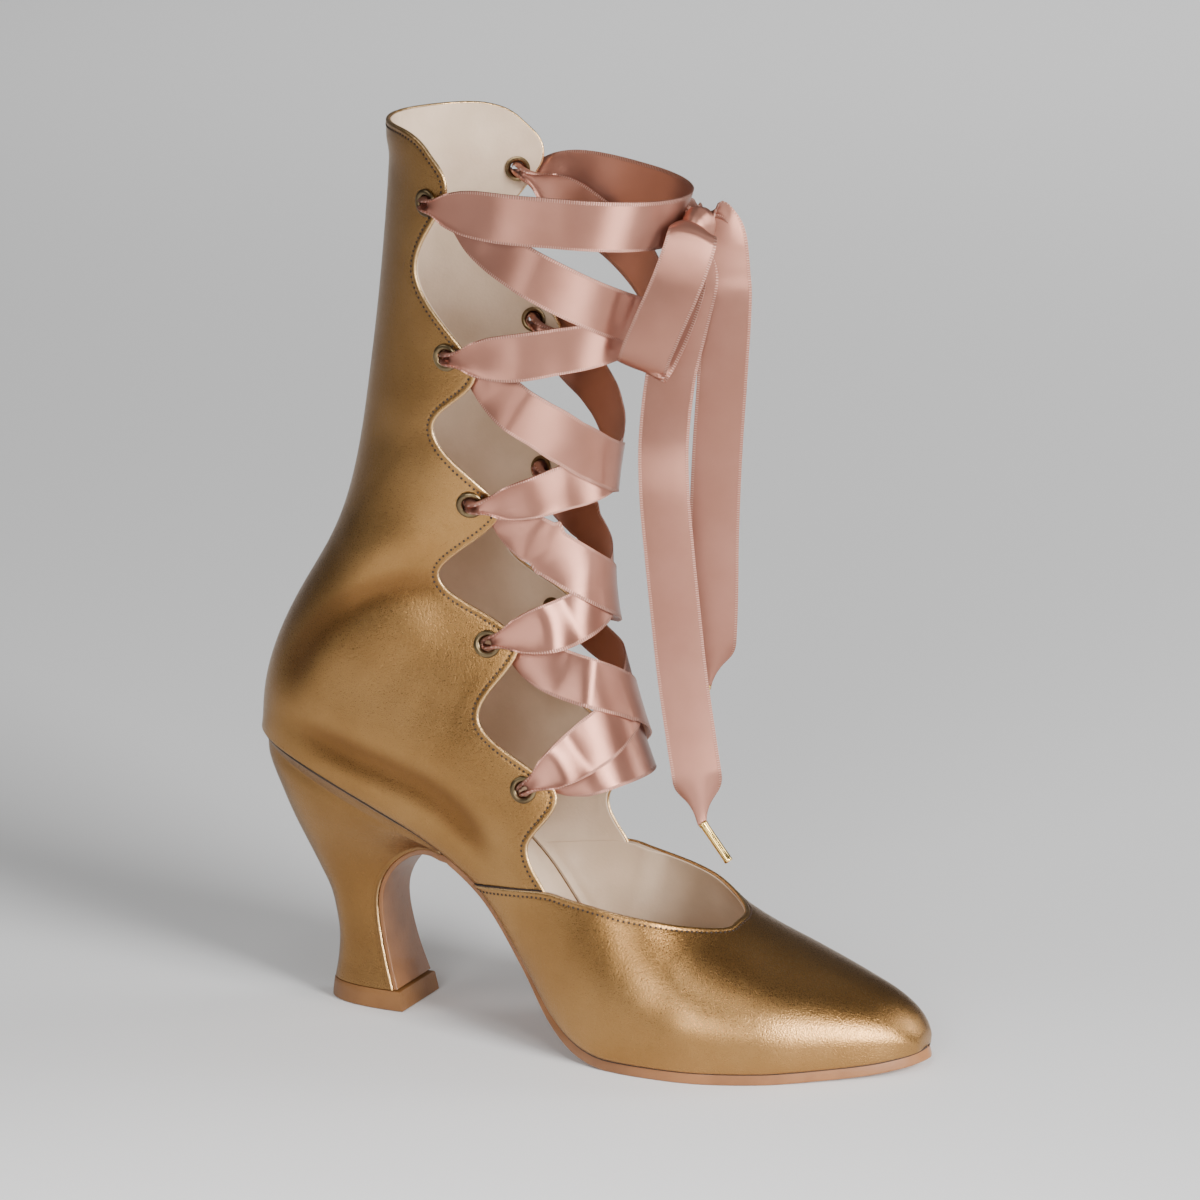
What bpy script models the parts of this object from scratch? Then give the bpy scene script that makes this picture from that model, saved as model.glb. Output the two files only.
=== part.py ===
"""Laced boot on a curved heel: a hollow leather upper with scalloped facings, eyelets and ribbon lacing.

Sizes are in millimetres and meshes are scaled to metres as they are made.
+X points to the toe, -Y to the outer side of the foot, +Z up. The origin is in the middle of the heel's
floor face. It is a right boot.
"""
import math

import bmesh
import bpy
import numpy as np
from mathutils import Matrix, Vector

# Driving dimensions
MM = 0.001
GAP = 0.3                # clearance between pieces that meet
WALL = 1.8               # leather and lining of the upper
VAMP_LAP = 0.8           # height of the vamp's edge over the quarters
LAP_START = 0.12         # share of a half section over which the vamp's extra thickness comes in
SOLE_THICK = 3.5         # outsole under the forefoot
WAIST_THICK = 2.3        # outsole under the arch
FLAP_THICK = 1.3         # outsole where it runs down the breast of the heel
SOLE_RIM = 0.6           # outsole showing past the upper at the forefoot
RIM_FROM, RIM_TO = 60.0, 90.0     # x over which the rim comes in
THIN_TO, FULL_FROM = 60.0, 100.0  # x over which the arch thickens to the forefoot
FLAP_THINS = 3.0         # rows of BREAST over which the flap thins
SOLE_BEVEL = 0.5         # lower edge of the outsole
SOLE_TO_HEEL = 3.0       # end of the arch in front of the breast's top
SOLE_TIP = (0.12, 0.3, 0.6)       # stations of LAST at the outsole's round tip
SOLE_SECTIONS, FLAP_SECTIONS = 26, 21
INSOLE_THICK = 1.5
INSOLE_INSET = 2.4       # from the outline of the upper's lower edge
INSOLE_TOE, INSOLE_HEEL = 189.0, -33.0
INSOLE_ROUND = 11.0      # length over which the insole rounds off at its ends
INSOLE_STATIONS = (1.75, 17.45)   # stations of LAST at its ends
INSOLE_SECTIONS = 30
SEAT_TO_BREAST = 1.0     # heel seat in front of the breast's top
HEEL_SECTIONS = 17
HEEL_SIDES = 10          # points from the heel's front corner to the middle of its back
TOP_PIECE_HEIGHT = 6.6
TOP_PIECE_SWELL = 0.4
EYELET_HOLE = 2.4        # radius of the hole through an eyelet
EYELET_BARREL = 2.9
EYELET_FLANGE = 4.5
EYELET_BACK = 4.1
EYELET_CUT = 3.3         # radius of the hole in the leather
EYELET_PROUD = 1.0       # flange over the leather
EYELET_EDGE = 0.4        # slope of the flange's edge
EYELET_CLINCH = 0.5      # thickness of the spread end inside
EYELET_SIDES = 10
RIBBON_WIDTH = 16.0
RIBBON_THICK = 0.9
LACE_THICK = 1.2         # ribbon drawn tight across the front
RIBBON_GATHERED = 6.0    # width where the ribbon is drawn together at an eyelet or at the knot
AGLET_RADIUS = 1.5
AGLET_SIDES = 10
KNOT_SIDES, KNOT_RINGS = 14, 8
LOOP_SECTIONS, OUTER_TAIL_SECTIONS, INNER_TAIL_SECTIONS = 26, 24, 20
STRIP_SECTIONS, TOP_STRIP_SECTIONS = 14, 17
COLLECTION = "edwardian_boot"

# Sections of the last from the toe to the top of the shaft. Each one is a closed ring about a line from
# its base (sole, then back seam) to its crest (vamp ridge, instep, then shin).
# swing: middle of the ring in Y, half: half of its width, feather: half of its width at the base,
# belly: share of the line at which it is widest, crown: how full the ring is towards the crest.
LAST_COLUMNS = ("base_x", "base_z", "crest_x", "crest_z", "swing", "half", "feather", "belly", "crown")
LAST = np.array([
    (193.2, 6.8, 193.2, 6.8, 4.0, 0.0, 0.0, 0.45, 2.0),        # tip of the toe
    (191.4, 6.3, 191.7, 11.6, 3.6, 6.2, 5.9, 0.45, 2.0),
    (187.3, 5.6, 187.4, 17.4, 2.9, 12.0, 11.5, 0.42, 2.0),
    (180.0, 4.8, 179.6, 22.8, 1.7, 18.4, 17.6, 0.38, 2.0),
    (168.0, 4.2, 167.5, 28.0, 0.0, 26.2, 25.0, 0.34, 2.0),
    (152.0, 3.8, 151.0, 34.4, -1.6, 35.4, 34.2, 0.30, 1.95),
    (133.0, 3.8, 131.0, 43.6, -3.5, 40.6, 39.4, 0.27, 1.9),    # throat and ball
    (115.0, 3.8, 120.6, 53.4, -5.0, 40.4, 39.0, 0.26, 1.85),
    (100.0, 3.9, 112.0, 68.6, -5.4, 38.8, 36.6, 0.26, 1.8),
    (88.5, 6.4, 104.5, 85.0, -5.0, 36.4, 32.4, 0.28, 1.8),
    (78.0, 13.0, 98.0, 100.0, -3.6, 34.6, 28.0, 0.30, 1.8),
    (66.0, 28.0, 92.5, 114.5, -2.2, 33.2, 24.4, 0.32, 1.85),   # arch
    (51.0, 48.0, 88.4, 127.5, -1.4, 32.6, 23.4, 0.34, 1.9),
    (33.0, 62.3, 86.2, 138.0, -0.9, 32.4, 24.6, 0.34, 1.95),
    (12.0, 73.4, 85.2, 147.0, -0.5, 32.2, 27.2, 0.33, 2.0),
    (-8.0, 82.6, 85.0, 154.5, -0.2, 31.8, 27.8, 0.31, 2.0),
    (-23.0, 88.2, 85.0, 161.0, 0.0, 31.4, 23.6, 0.29, 2.0),
    (-32.0, 90.6, 85.2, 166.5, 0.0, 31.0, 16.0, 0.28, 2.0),
    (-36.2, 91.8, 85.5, 171.0, 0.0, 30.8, 8.4, 0.28, 2.0),
    (-37.6, 93.0, 85.9, 175.0, 0.0, 30.6, 0.0, 0.28, 2.0),     # end of the heel seat
    (-37.9, 103.0, 86.4, 180.0, 0.0, 30.4, 0.0, 0.30, 2.0),
    (-33.8, 119.5, 87.2, 187.0, 0.0, 30.4, 0.0, 0.34, 2.0),
    (-25.4, 136.5, 88.2, 195.0, 0.0, 30.8, 0.0, 0.40, 2.0),
    (-14.6, 153.0, 89.4, 203.0, 0.0, 31.4, 0.0, 0.44, 2.0),    # ankle
    (-7.2, 169.0, 91.0, 212.0, 0.0, 32.0, 0.0, 0.46, 2.0),
    (-2.0, 188.0, 93.6, 223.0, 0.0, 32.8, 0.0, 0.48, 2.0),
    (1.4, 209.5, 97.4, 235.0, 0.0, 34.0, 0.0, 0.49, 2.0),
    (4.6, 231.0, 101.4, 248.0, 0.0, 35.4, 0.0, 0.50, 2.0),
    (7.0, 252.0, 105.6, 261.0, 0.0, 37.0, 0.0, 0.50, 2.0),
    (8.6, 273.0, 110.2, 275.0, 0.0, 38.6, 0.0, 0.50, 2.0),
    (9.2, 297.0, 116.0, 296.0, 0.0, 40.2, 0.0, 0.50, 2.0),     # top of the back seam
])
THROAT = 6               # row of LAST at the throat
SEAT_END = 19            # row of LAST from which the base is closed at the back

# Upper edge of the upper seen from the side, from the throat to the top of the back seam.
EDGE = np.array([        # x, z
    (131.0, 43.6),       # throat
    (130.0, 42.2),
    (124.6, 43.2),
    (114.0, 47.2),
    (100.6, 50.4),
    (88.0, 52.7),
    (77.0, 54.8),        # vamp and facing meet
    (70.3, 68.0),        # notch
    (79.0, 86.8),        # first lobe
    (52.2, 107.4),       # notch
    (63.2, 133.0),       # second lobe
    (36.4, 152.0),
    (56.7, 175.2),       # third lobe
    (36.8, 201.0),
    (52.5, 221.5),       # fourth lobe
    (30.8, 251.0),
    (44.2, 278.0),       # fifth lobe
    (37.6, 290.4),
    (27.0, 296.2),
    (9.2, 297.0),        # top of the back seam
])
JUNCTION = 6             # row of EDGE where the vamp's edge leaves it
SEAM_EDGE = 8            # row of EDGE that stands over the foot of the vamp's edge
SEAT_EDGE = 12           # row of EDGE that stands over the end of the heel seat
# Stations of LAST, on the sole and the back seam, below the rows of EDGE after SEAM_EDGE.
FEET = (13.9, 15.3, 17.0, 19.0, 21.6, 24.2, 26.4, 28.4, 29.2, 29.7, 30.0)
TOE_ROWS, THROAT_ROWS, SEAM_ROWS, SEAT_ROWS, SHAFT_ROWS = 11, 13, 6, 17, 29
THROAT_FOOT = 5.3        # station of LAST, on the sole, below the throat
VAMP_COLUMNS = 8         # grid points up a half section
QUARTER_COLUMNS = 8
SEAM_FOOT = (47.0, 51.6)  # where the vamp's edge comes down to the sole
EYELETS = np.array([(68.5, 87.0), (53.3, 132.0), (48.2, 177.4), (42.5, 225.6), (36.2, 274.6)])

# Breast of the heel from the arch to the top piece: the front of the heel block.
BREAST = np.array([      # x, z, half width
    (34.6, 58.9, 23.4),
    (30.0, 59.3, 21.6),
    (24.4, 58.1, 18.6),
    (18.2, 55.1, 15.4),
    (12.2, 50.4, 12.8),
    (7.9, 44.8, 11.2),
    (5.8, 38.8, 10.5),
    (5.7, 32.4, 10.4),
    (6.9, 24.8, 10.8),
    (9.1, 15.8, 11.6),
    (11.9, 6.9, 12.8),
])
# Back of the heel block at the same rows, and how much wider the block is behind its breast.
HEEL_BACK = np.array([   # x, z, swell
    (-37.2, 88.4, 4.4),
    (-36.4, 82.0, 6.0),
    (-32.4, 72.4, 7.6),
    (-28.0, 62.4, 7.6),
    (-23.2, 53.0, 6.4),
    (-18.8, 44.4, 4.6),
    (-15.2, 36.8, 3.0),
    (-13.4, 29.0, 1.8),
    (-12.5, 21.6, 1.1),
    (-13.0, 13.8, 0.7),
    (-14.2, 6.9, 0.5),
])
HEEL_FULLNESS = 2.3      # exponent of the heel block's round back
TOP_PIECE = ((-15.2, 15.8, 13.9), (-14.5, 14.6, 13.3))   # back, front, half width at floor and at top

# Ribbon lacing: height on the shin where each pair crosses, of the bar between the lowest eyelets, and of
# the top pair under the knot.
CROSS_HEIGHTS = (114.0, 150.0, 191.0, 237.0)
BAR_HEIGHT = 97.0
TOP_HEIGHT = 268.0
LACE_OUTSIDE = 1.4       # middle of the ribbon from the outer surface of the leather, over the facing
LACE_FRONT = -0.8        # the same at the shin
LACE_INSIDE = -3.2       # the same under the facing
BAR_RISE = 0.6           # the bar's middle above its ends
LACE_OVER = 0.1          # rise of the upper strip of a crossing, so that the two are joined
LACE_TURNS = (0.2, 0.62)  # shares of a strip's length where it leaves one facing and goes under the other
LACE_SLOPE = 0.18        # share of its length that either takes
LACE_CLOSER = 0.55       # spacing of a strip's sections at the narrow shin, as a share of the even spacing
LACE_FROM_EYELET = 6.2   # where a strip starts, from the middle of its eyelet
GATHER_LENGTH = 20.0     # length over which the ribbon opens to its full width
TIP_LENGTH = 16.0        # the same at a metal tip

# Ribbon bow: hand-placed routes (x, y, z) of the loops and the ends, from the knot outwards.
KNOT_CENTRE = (114.2, 0.0, 267.0)
KNOT_RADII = (4.8, 7.4, 6.4)
OUTER_LOOP = (
    (115.4, -7.9, 268.4), (116.6, -12.0, 263.4), (113.4, -15.4, 251.4), (107.8, -16.8, 237.8),
    (103.2, -16.4, 227.4), (100.8, -13.4, 222.4), (102.4, -9.6, 225.6), (107.0, -6.6, 237.6),
    (110.8, -5.8, 250.0), (112.4, -5.6, 261.4),
)
INNER_LOOP = (
    (112.6, 8.8, 268.4), (112.4, 13.6, 266.4), (108.4, 20.4, 256.0), (103.0, 24.8, 243.0),
    (98.6, 26.0, 231.0), (96.4, 23.6, 225.0), (97.6, 20.0, 228.4), (101.2, 17.2, 240.0),
    (105.6, 13.4, 251.0), (111.6, 6.0, 261.4),
)
OUTER_TAIL = (
    (114.6, -1.6, 260.2), (112.6, 0.6, 250.0), (108.6, 0.6, 234.0), (105.2, -0.6, 218.0),
    (103.6, -2.2, 198.0), (104.6, -3.8, 180.0), (106.4, -4.0, 162.0), (108.5, -4.0, 143.0),
    (111.0, -4.0, 122.0), (114.2, -4.2, 102.0), (117.0, -5.0, 87.0), (118.6, -5.8, 76.0),
)
INNER_TAIL = (
    (116.6, 8.4, 271.6), (119.6, 9.6, 271.4), (121.2, 9.8, 261.0), (120.0, 9.4, 243.0),
    (118.7, 9.2, 216.0), (117.2, 9.2, 193.0), (116.2, 9.2, 167.0), (116.0, 9.2, 145.0),
    (115.4, 9.0, 128.0), (114.2, 8.6, 117.0),
)
OUTER_AGLET = ((119.0, -5.9, 74.9), (128.5, -6.3, 63.1))
INNER_AGLET = ((114.1, 8.6, 116.5), (112.5, 8.3, 101.3))
FACE_RIGHT = (0.91, 0.41, 0.0)      # across the ends
OUTER_RIGHT = (0.84, 0.29, -0.31)   # across the outer loop
INNER_RIGHT = (0.84, -0.29, -0.31)  # across the inner loop

MATERIALS = {
    "gold_leather": ((0.36, 0.21, 0.075), 0.38, 0.75),
    "sole_leather": ((0.42, 0.22, 0.13), 0.55, 0.0),
    "heel_rubber": ((0.40, 0.19, 0.075), 0.5, 0.0),
    "sock_leather": ((0.62, 0.5, 0.38), 0.7, 0.0),
    "antique_brass": ((0.2, 0.15, 0.09), 0.35, 1.0),
    "rose_ribbon": ((0.42, 0.23, 0.19), 0.35, 0.0),
    "gold_metal": ((0.83, 0.62, 0.26), 0.2, 1.0),
}


def clear_scene():
    for obj in list(bpy.data.objects):
        bpy.data.objects.remove(obj)


def make_materials():
    made = {}
    for name, (colour, roughness, metallic) in MATERIALS.items():
        material = bpy.data.materials.new(name)
        material.use_nodes = True
        shader = material.node_tree.nodes["Principled BSDF"]
        shader.inputs["Base Color"].default_value = (*colour, 1.0)
        shader.inputs["Roughness"].default_value = roughness
        shader.inputs["Metallic"].default_value = metallic
        made[name] = material
    return made


def make_collections():
    made = []
    for name in (COLLECTION, COLLECTION + "_cutters"):
        collection = bpy.data.collections.new(name)
        bpy.context.scene.collection.children.link(collection)
        made.append(collection)
    return made


def smooth_rows(table, at):
    """Read a table between its rows by a Catmull-Rom curve; at counts rows from 0."""
    at = np.asarray(at, float)
    top = len(table) - 1
    i = np.clip(np.floor(at).astype(int), 0, top - 1)
    t = (at - i)[..., None]
    p1 = table[i]
    p2 = table[i + 1]
    p0 = np.where((i > 0)[..., None], table[np.maximum(i - 1, 0)], 2 * p1 - p2)
    p3 = np.where((i < top - 1)[..., None], table[np.minimum(i + 2, top)], 2 * p2 - p1)
    cubic = 3 * (p1 - p2) + p3 - p0
    square = 2 * p0 - 5 * p1 + 4 * p2 - p3
    return p1 + 0.5 * t * (p2 - p0 + t * (square + t * cubic))


def last_row(s):
    """Columns of the last at station s, as a dictionary of arrays.

    The base stays at the height of the sole's upper face, so that the forefoot has a flat spot on the floor.
    """
    row = smooth_rows(LAST, s)
    columns = {name: row[..., k] for k, name in enumerate(LAST_COLUMNS)}
    columns["feather"] = np.where(np.asarray(s) >= SEAT_END, 0.0, np.maximum(columns["feather"], 0.0))
    columns["base_z"] = np.maximum(columns["base_z"], SOLE_THICK + GAP)
    return columns


def last_point(s, p, side):
    """Point of the last at station s and share p of a half ring, from base (0) to crest (1).

    The lower quarter of the ring is an ellipse from the feather to the widest point, the upper one a
    superellipse from there to the crest. side is -1 for the outer half and 1 for the inner half.
    """
    c = last_row(s)
    angle = math.pi * np.clip(p, 0.0, 1.0)
    rise = np.abs(np.cos(angle))
    reach = np.abs(np.sin(angle))
    power = 2.0 / c["crown"]
    low = angle <= math.pi / 2
    wide = np.where(low, c["feather"] + (c["half"] - c["feather"]) * reach, c["half"] * reach ** power)
    along = np.where(low, c["belly"] * (1 - rise), c["belly"] + (1 - c["belly"]) * rise ** power)
    x = c["base_x"] + (c["crest_x"] - c["base_x"]) * along
    z = c["base_z"] + (c["crest_z"] - c["base_z"]) * along
    y = c["swing"] + side * wide
    return np.stack([x, y, z], axis=-1)


def last_normal(s, p, side):
    """Outward unit normal of the last, from central differences."""
    step_s = 2e-3
    step_p = 2e-4
    top = len(LAST) - 1.0
    s0 = np.clip(s - step_s, 0.0, top)
    s1 = np.clip(s + step_s, 0.0, top)
    p0 = np.clip(p - step_p, 1e-4, 1.0 - 1e-4)
    p1 = np.clip(p + step_p, 1e-4, 1.0 - 1e-4)
    along_s = last_point(s1, p, side) - last_point(s0, p, side)
    along_p = last_point(s, p1, side) - last_point(s, p0, side)
    normal = np.cross(along_s, along_p) * np.asarray(side)[..., None]
    return normal / np.maximum(np.linalg.norm(normal, axis=-1, keepdims=True), 1e-9)


def side_place(points):
    """Station and share (s, p) on the last of points given by x and z in the side view."""
    s = np.linspace(1.0, len(LAST) - 1.0, 6001)
    c = last_row(s)
    line_x = c["crest_x"] - c["base_x"]
    line_z = c["crest_z"] - c["base_z"]
    found = []
    for x, z in points:
        off = line_x * (z - c["base_z"]) - line_z * (x - c["base_x"])
        share = (line_x * (x - c["base_x"]) + line_z * (z - c["base_z"])) / (line_x**2 + line_z**2)
        inside = (share > -0.02) & (share < 1.02)
        score = np.where(inside, np.abs(off) / np.hypot(line_x, line_z), np.inf)
        k = int(np.argmin(score))
        q = min(max(share[k], 0.0), 1.0)
        belly = c["belly"][k]
        if q < belly:
            angle = math.acos(1 - q / belly)
        else:
            angle = math.pi - math.acos(((q - belly) / (1 - belly)) ** (c["crown"][k] / 2))
        found.append((s[k], angle / math.pi))
    return np.array(found)


def new_object(name, mesh, material, collection, root):
    obj = bpy.data.objects.new(name, mesh)
    mesh.materials.append(material)
    collection.objects.link(obj)
    obj.parent = root
    return obj


def mesh_of(name, points, faces, merge=0.01):
    """Mesh from millimetre points, with coincident points merged and faces pointing out."""
    mesh = bpy.data.meshes.new(name)
    mesh.from_pydata((np.asarray(points) * MM).tolist(), [], faces)
    bm = bmesh.new()
    bm.from_mesh(mesh)
    bmesh.ops.remove_doubles(bm, verts=bm.verts, dist=merge * MM)
    bmesh.ops.recalc_face_normals(bm, faces=bm.faces)
    if sum(f.normal.y * f.calc_center_median().y * f.calc_area() for f in bm.faces) < 0:
        bmesh.ops.reverse_faces(bm, faces=bm.faces)
    bm.to_mesh(mesh)
    bm.free()
    mesh.shade_smooth()
    mesh.set_sharp_from_angle(angle=math.radians(40))
    return mesh


def grid_faces(rows, columns, start=0):
    """Quads of a grid of points that are numbered row by row."""
    faces = []
    for i in range(rows - 1):
        for j in range(columns - 1):
            a = start + i * columns + j
            faces.append((a, a + 1, a + columns + 1, a + columns))
    return faces


def ring_loft(rings):
    """Closed solid through rings of equal count: rings is (n, m, 3)."""
    n, m, _ = rings.shape
    faces = [tuple(range(m)), tuple(range((n - 1) * m, n * m))]
    for i in range(n - 1):
        for j in range(m):
            k = (j + 1) % m
            faces.append((i * m + j, i * m + k, (i + 1) * m + k, (i + 1) * m + j))
    return rings.reshape(-1, 3), faces


def upper_rows():
    """Rows of the upper's grid, each from (s, p) at its foot to (s, p) at its top edge.

    The vamp's rows stand on the sole and end at the crest, at the throat's edge, or at the seam over the
    quarter. The quarter's rows start at that seam, then at the sole and the back seam, and end at the edge.
    """
    seam = side_place(np.linspace(EDGE[JUNCTION], SEAM_FOOT, SEAM_ROWS))
    seam[-1, 1] = 0.0
    throat = side_place(smooth_rows(EDGE, np.linspace(0.0, JUNCTION, THROAT_ROWS)))
    throat[0, 1] = 1.0
    toe = np.linspace(0.0, throat[0, 0], TOE_ROWS)[:-1]
    vamp_top = np.concatenate([np.stack([toe, np.ones(len(toe))], axis=1), throat, seam[1:]])
    below = np.linspace(THROAT_FOOT, throat[-1, 0], THROAT_ROWS)
    toe_foot = np.linspace(0.0, THROAT_FOOT, TOE_ROWS)[:-1]
    vamp_foot = np.concatenate([toe_foot, below, seam[1:, 0]])[:, None] * (1.0, 0.0)

    edge_at = np.concatenate([
        np.linspace(JUNCTION, SEAM_EDGE, SEAM_ROWS),
        np.linspace(SEAM_EDGE, SEAT_EDGE, SEAT_ROWS)[1:],
        np.linspace(SEAT_EDGE, len(EDGE) - 1.0, SHAFT_ROWS)[1:],
    ])
    quarter_top = side_place(smooth_rows(EDGE, edge_at))
    quarter_top[-1] = (len(LAST) - 1.0, 0.0)
    feet = np.array((seam[-1, 0],) + FEET)[:, None]
    stations = smooth_rows(feet, edge_at[SEAM_ROWS:] - SEAM_EDGE)
    base = np.concatenate([stations, np.zeros_like(stations)], axis=1)
    quarter_foot = np.concatenate([seam, base])
    return vamp_foot, vamp_top, quarter_foot, quarter_top


def upper_surface():
    """Outer surface of the upper: points and quads of the vamp, the quarters and the step between."""
    vamp_foot, vamp_top, quarter_foot, quarter_top = upper_rows()
    points = []
    faces = []
    count = 0
    for side in (-1, 1):
        share = np.linspace(0.0, 1.0, VAMP_COLUMNS)[None, :, None]
        place = vamp_foot[:, None] + (vamp_top - vamp_foot)[:, None] * share
        s, p = place[..., 0], place[..., 1]
        lap = VAMP_LAP * np.clip(p / LAP_START, 0.0, 1.0) * np.clip(s, 0.0, 1.0)
        vamp = last_point(s, p, side) + lap[..., None] * last_normal(s, p, side)
        vamp[..., 1] = np.where(p > 0.9999, last_row(s)["swing"], vamp[..., 1])
        vamp_start = count
        points.append(vamp.reshape(-1, 3))
        faces += grid_faces(len(vamp_top), VAMP_COLUMNS, vamp_start)
        count += len(points[-1])

        share = np.linspace(0.0, 1.0, QUARTER_COLUMNS)[None, :, None]
        place = quarter_foot[:, None] + (quarter_top - quarter_foot)[:, None] * share
        quarter = last_point(place[..., 0], place[..., 1], side)
        quarter_start = count
        points.append(quarter.reshape(-1, 3))
        faces += grid_faces(len(quarter_top), QUARTER_COLUMNS, quarter_start)
        count += len(points[-1])

        first_vamp = len(vamp_top) - SEAM_ROWS
        for k in range(SEAM_ROWS - 1):
            a = vamp_start + (first_vamp + k + 1) * VAMP_COLUMNS - 1
            b = quarter_start + k * QUARTER_COLUMNS
            faces.append((a, b, b + QUARTER_COLUMNS, a + VAMP_COLUMNS))
    return np.concatenate(points), faces


def make_upper(materials, parts, cutters, root):
    points, faces = upper_surface()
    mesh = mesh_of("upper", points, faces)
    upper = new_object("upper", mesh, materials["gold_leather"], parts, root)
    solidify = upper.modifiers.new("wall", "SOLIDIFY")
    solidify.thickness = WALL * MM
    solidify.offset = -1.0
    bm = bmesh.new()
    for centre, normal in eyelet_places():
        turn = Vector(normal).to_track_quat("Z", "Y").to_matrix().to_4x4()
        place = Matrix.Translation(Vector(centre * MM)) @ turn
        bmesh.ops.create_cone(bm, cap_ends=True, segments=EYELET_SIDES, radius1=EYELET_CUT * MM,
                              radius2=EYELET_CUT * MM, depth=8 * WALL * MM, matrix=place)
    mesh = bpy.data.meshes.new("eyelet_cuts")
    bm.to_mesh(mesh)
    bm.free()
    cutter = new_object("eyelet_cuts", mesh, materials["gold_leather"], cutters, root)
    cutter.hide_render = True
    cutter.display_type = "WIRE"
    cut = upper.modifiers.new("eyelet holes", "BOOLEAN")
    cut.operation = "DIFFERENCE"
    cut.object = cutter


def eyelet_places():
    """Centres and outward normals of the eyelets on the outer surface, outer side first."""
    places = []
    for side in (-1, 1):
        for s, p in side_place(EYELETS):
            at = (np.array(s), np.array(p), side)
            places.append((last_point(*at), last_normal(*at)))
    return places


def make_eyelets(materials, parts, root):
    inner = -WALL - 2 * GAP
    profile = [
        (EYELET_HOLE, EYELET_PROUD), (EYELET_FLANGE - EYELET_EDGE, EYELET_PROUD), (EYELET_FLANGE, GAP),
        (EYELET_BARREL, GAP), (EYELET_BARREL, inner), (EYELET_BACK, inner),
        (EYELET_BACK, inner - EYELET_CLINCH), (EYELET_HOLE, inner - EYELET_CLINCH),
    ]
    mesh = bpy.data.meshes.new("eyelet")
    bm = bmesh.new()
    verts = [bm.verts.new((r * MM, 0.0, z * MM)) for r, z in profile]
    for a, b in zip(verts, verts[1:] + verts[:1]):
        bm.edges.new((a, b))
    bm.to_mesh(mesh)
    bm.free()
    mesh.materials.append(materials["antique_brass"])
    for k, (centre, normal) in enumerate(eyelet_places()):
        side = "outer" if k < len(EYELETS) else "inner"
        eyelet = bpy.data.objects.new(f"eyelet_{side}_{k % len(EYELETS) + 1}", mesh)
        parts.objects.link(eyelet)
        eyelet.parent = root
        eyelet.location = Vector(centre * MM)
        eyelet.rotation_mode = "QUATERNION"
        eyelet.rotation_quaternion = Vector(normal).to_track_quat("Z", "Y")
        screw = eyelet.modifiers.new("turned", "SCREW")
        screw.steps = EYELET_SIDES
        screw.render_steps = EYELET_SIDES
        screw.use_merge_vertices = True
        screw.merge_threshold = 0.00001


def offset_path(path, distance):
    """Side-view path (x, z) moved to its right-hand side by distance, seen with x to the right."""
    along = np.gradient(path, axis=0)
    along /= np.linalg.norm(along, axis=1, keepdims=True)
    return path + np.stack([along[:, 1], -along[:, 0]], axis=1) * np.asarray(distance)[..., None]


def sole_path():
    """Upper face of the outsole from toe to heel: rows (x, z, swing, half, thickness)."""
    joint = float(np.interp(-(BREAST[0, 0] + SOLE_TO_HEEL), -LAST[:, 0], np.arange(len(LAST))))
    s = np.concatenate([np.array(SOLE_TIP), np.linspace(1.0, joint, SOLE_SECTIONS)])
    c = last_row(s)
    rim = SOLE_RIM * np.clip((c["base_x"] - RIM_FROM) / (RIM_TO - RIM_FROM), 0.0, 1.0)
    full = soft_step((c["base_x"] - THIN_TO) / (FULL_FROM - THIN_TO))
    thick = WAIST_THICK + (SOLE_THICK - WAIST_THICK) * full
    top = offset_path(np.stack([c["base_x"], c["base_z"]], axis=1), np.full(len(s), -GAP))
    body = np.column_stack([top, c["swing"], c["feather"] + rim, thick])
    u = np.linspace(0.0, len(BREAST) - 1.0, FLAP_SECTIONS)
    breast = smooth_rows(BREAST, u)
    front = offset_path(breast[:, :2], np.full(len(u), -GAP))
    thin = WAIST_THICK + (FLAP_THICK - WAIST_THICK) * np.clip(u / FLAP_THINS, 0.0, 1.0)
    flap = np.column_stack([front, np.zeros(len(u)), breast[:, 2], thin])
    return np.concatenate([body, flap])


def make_outsole(materials, parts, root):
    rows = sole_path()
    bottom = offset_path(rows[:, :2], -rows[:, 4])
    rings = []
    for (x, z, swing, half, thick), (bx, bz) in zip(rows, bottom):
        down = np.array([bx - x, 0.0, bz - z]) / thick
        top = np.array([x, swing, z])
        ring = [
            (-half, 0.0), (half, 0.0), (half, thick - SOLE_BEVEL), (half - SOLE_BEVEL, thick),
            (SOLE_BEVEL - half, thick), (-half, thick - SOLE_BEVEL),
        ]
        rings.append([top + np.array([0.0, y, 0.0]) + down * d for y, d in ring])
    points, faces = ring_loft(np.array(rings))
    new_object("outsole", mesh_of("outsole", points, faces), materials["sole_leather"], parts, root)


def heel_ring(front, back, half, swell):
    """D-shaped ring from the outer front corner round the back to the inner front corner."""
    angle = np.linspace(0.0, math.pi / 2, HEEL_SIDES)
    q = np.sin(angle) ** (2 / HEEL_FULLNESS)
    wide = (half + swell * np.sin(np.pi * np.clip(q, 0, 1) * 0.5)) * np.cos(angle) ** (2 / HEEL_FULLNESS)
    x = front[0] + (back[0] - front[0]) * q
    z = front[1] + (back[1] - front[1]) * q
    outer = np.stack([x, -wide, z], axis=1)
    inner = np.stack([x, wide, z], axis=1)
    return np.concatenate([outer[:-1], inner[::-1]])


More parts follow.
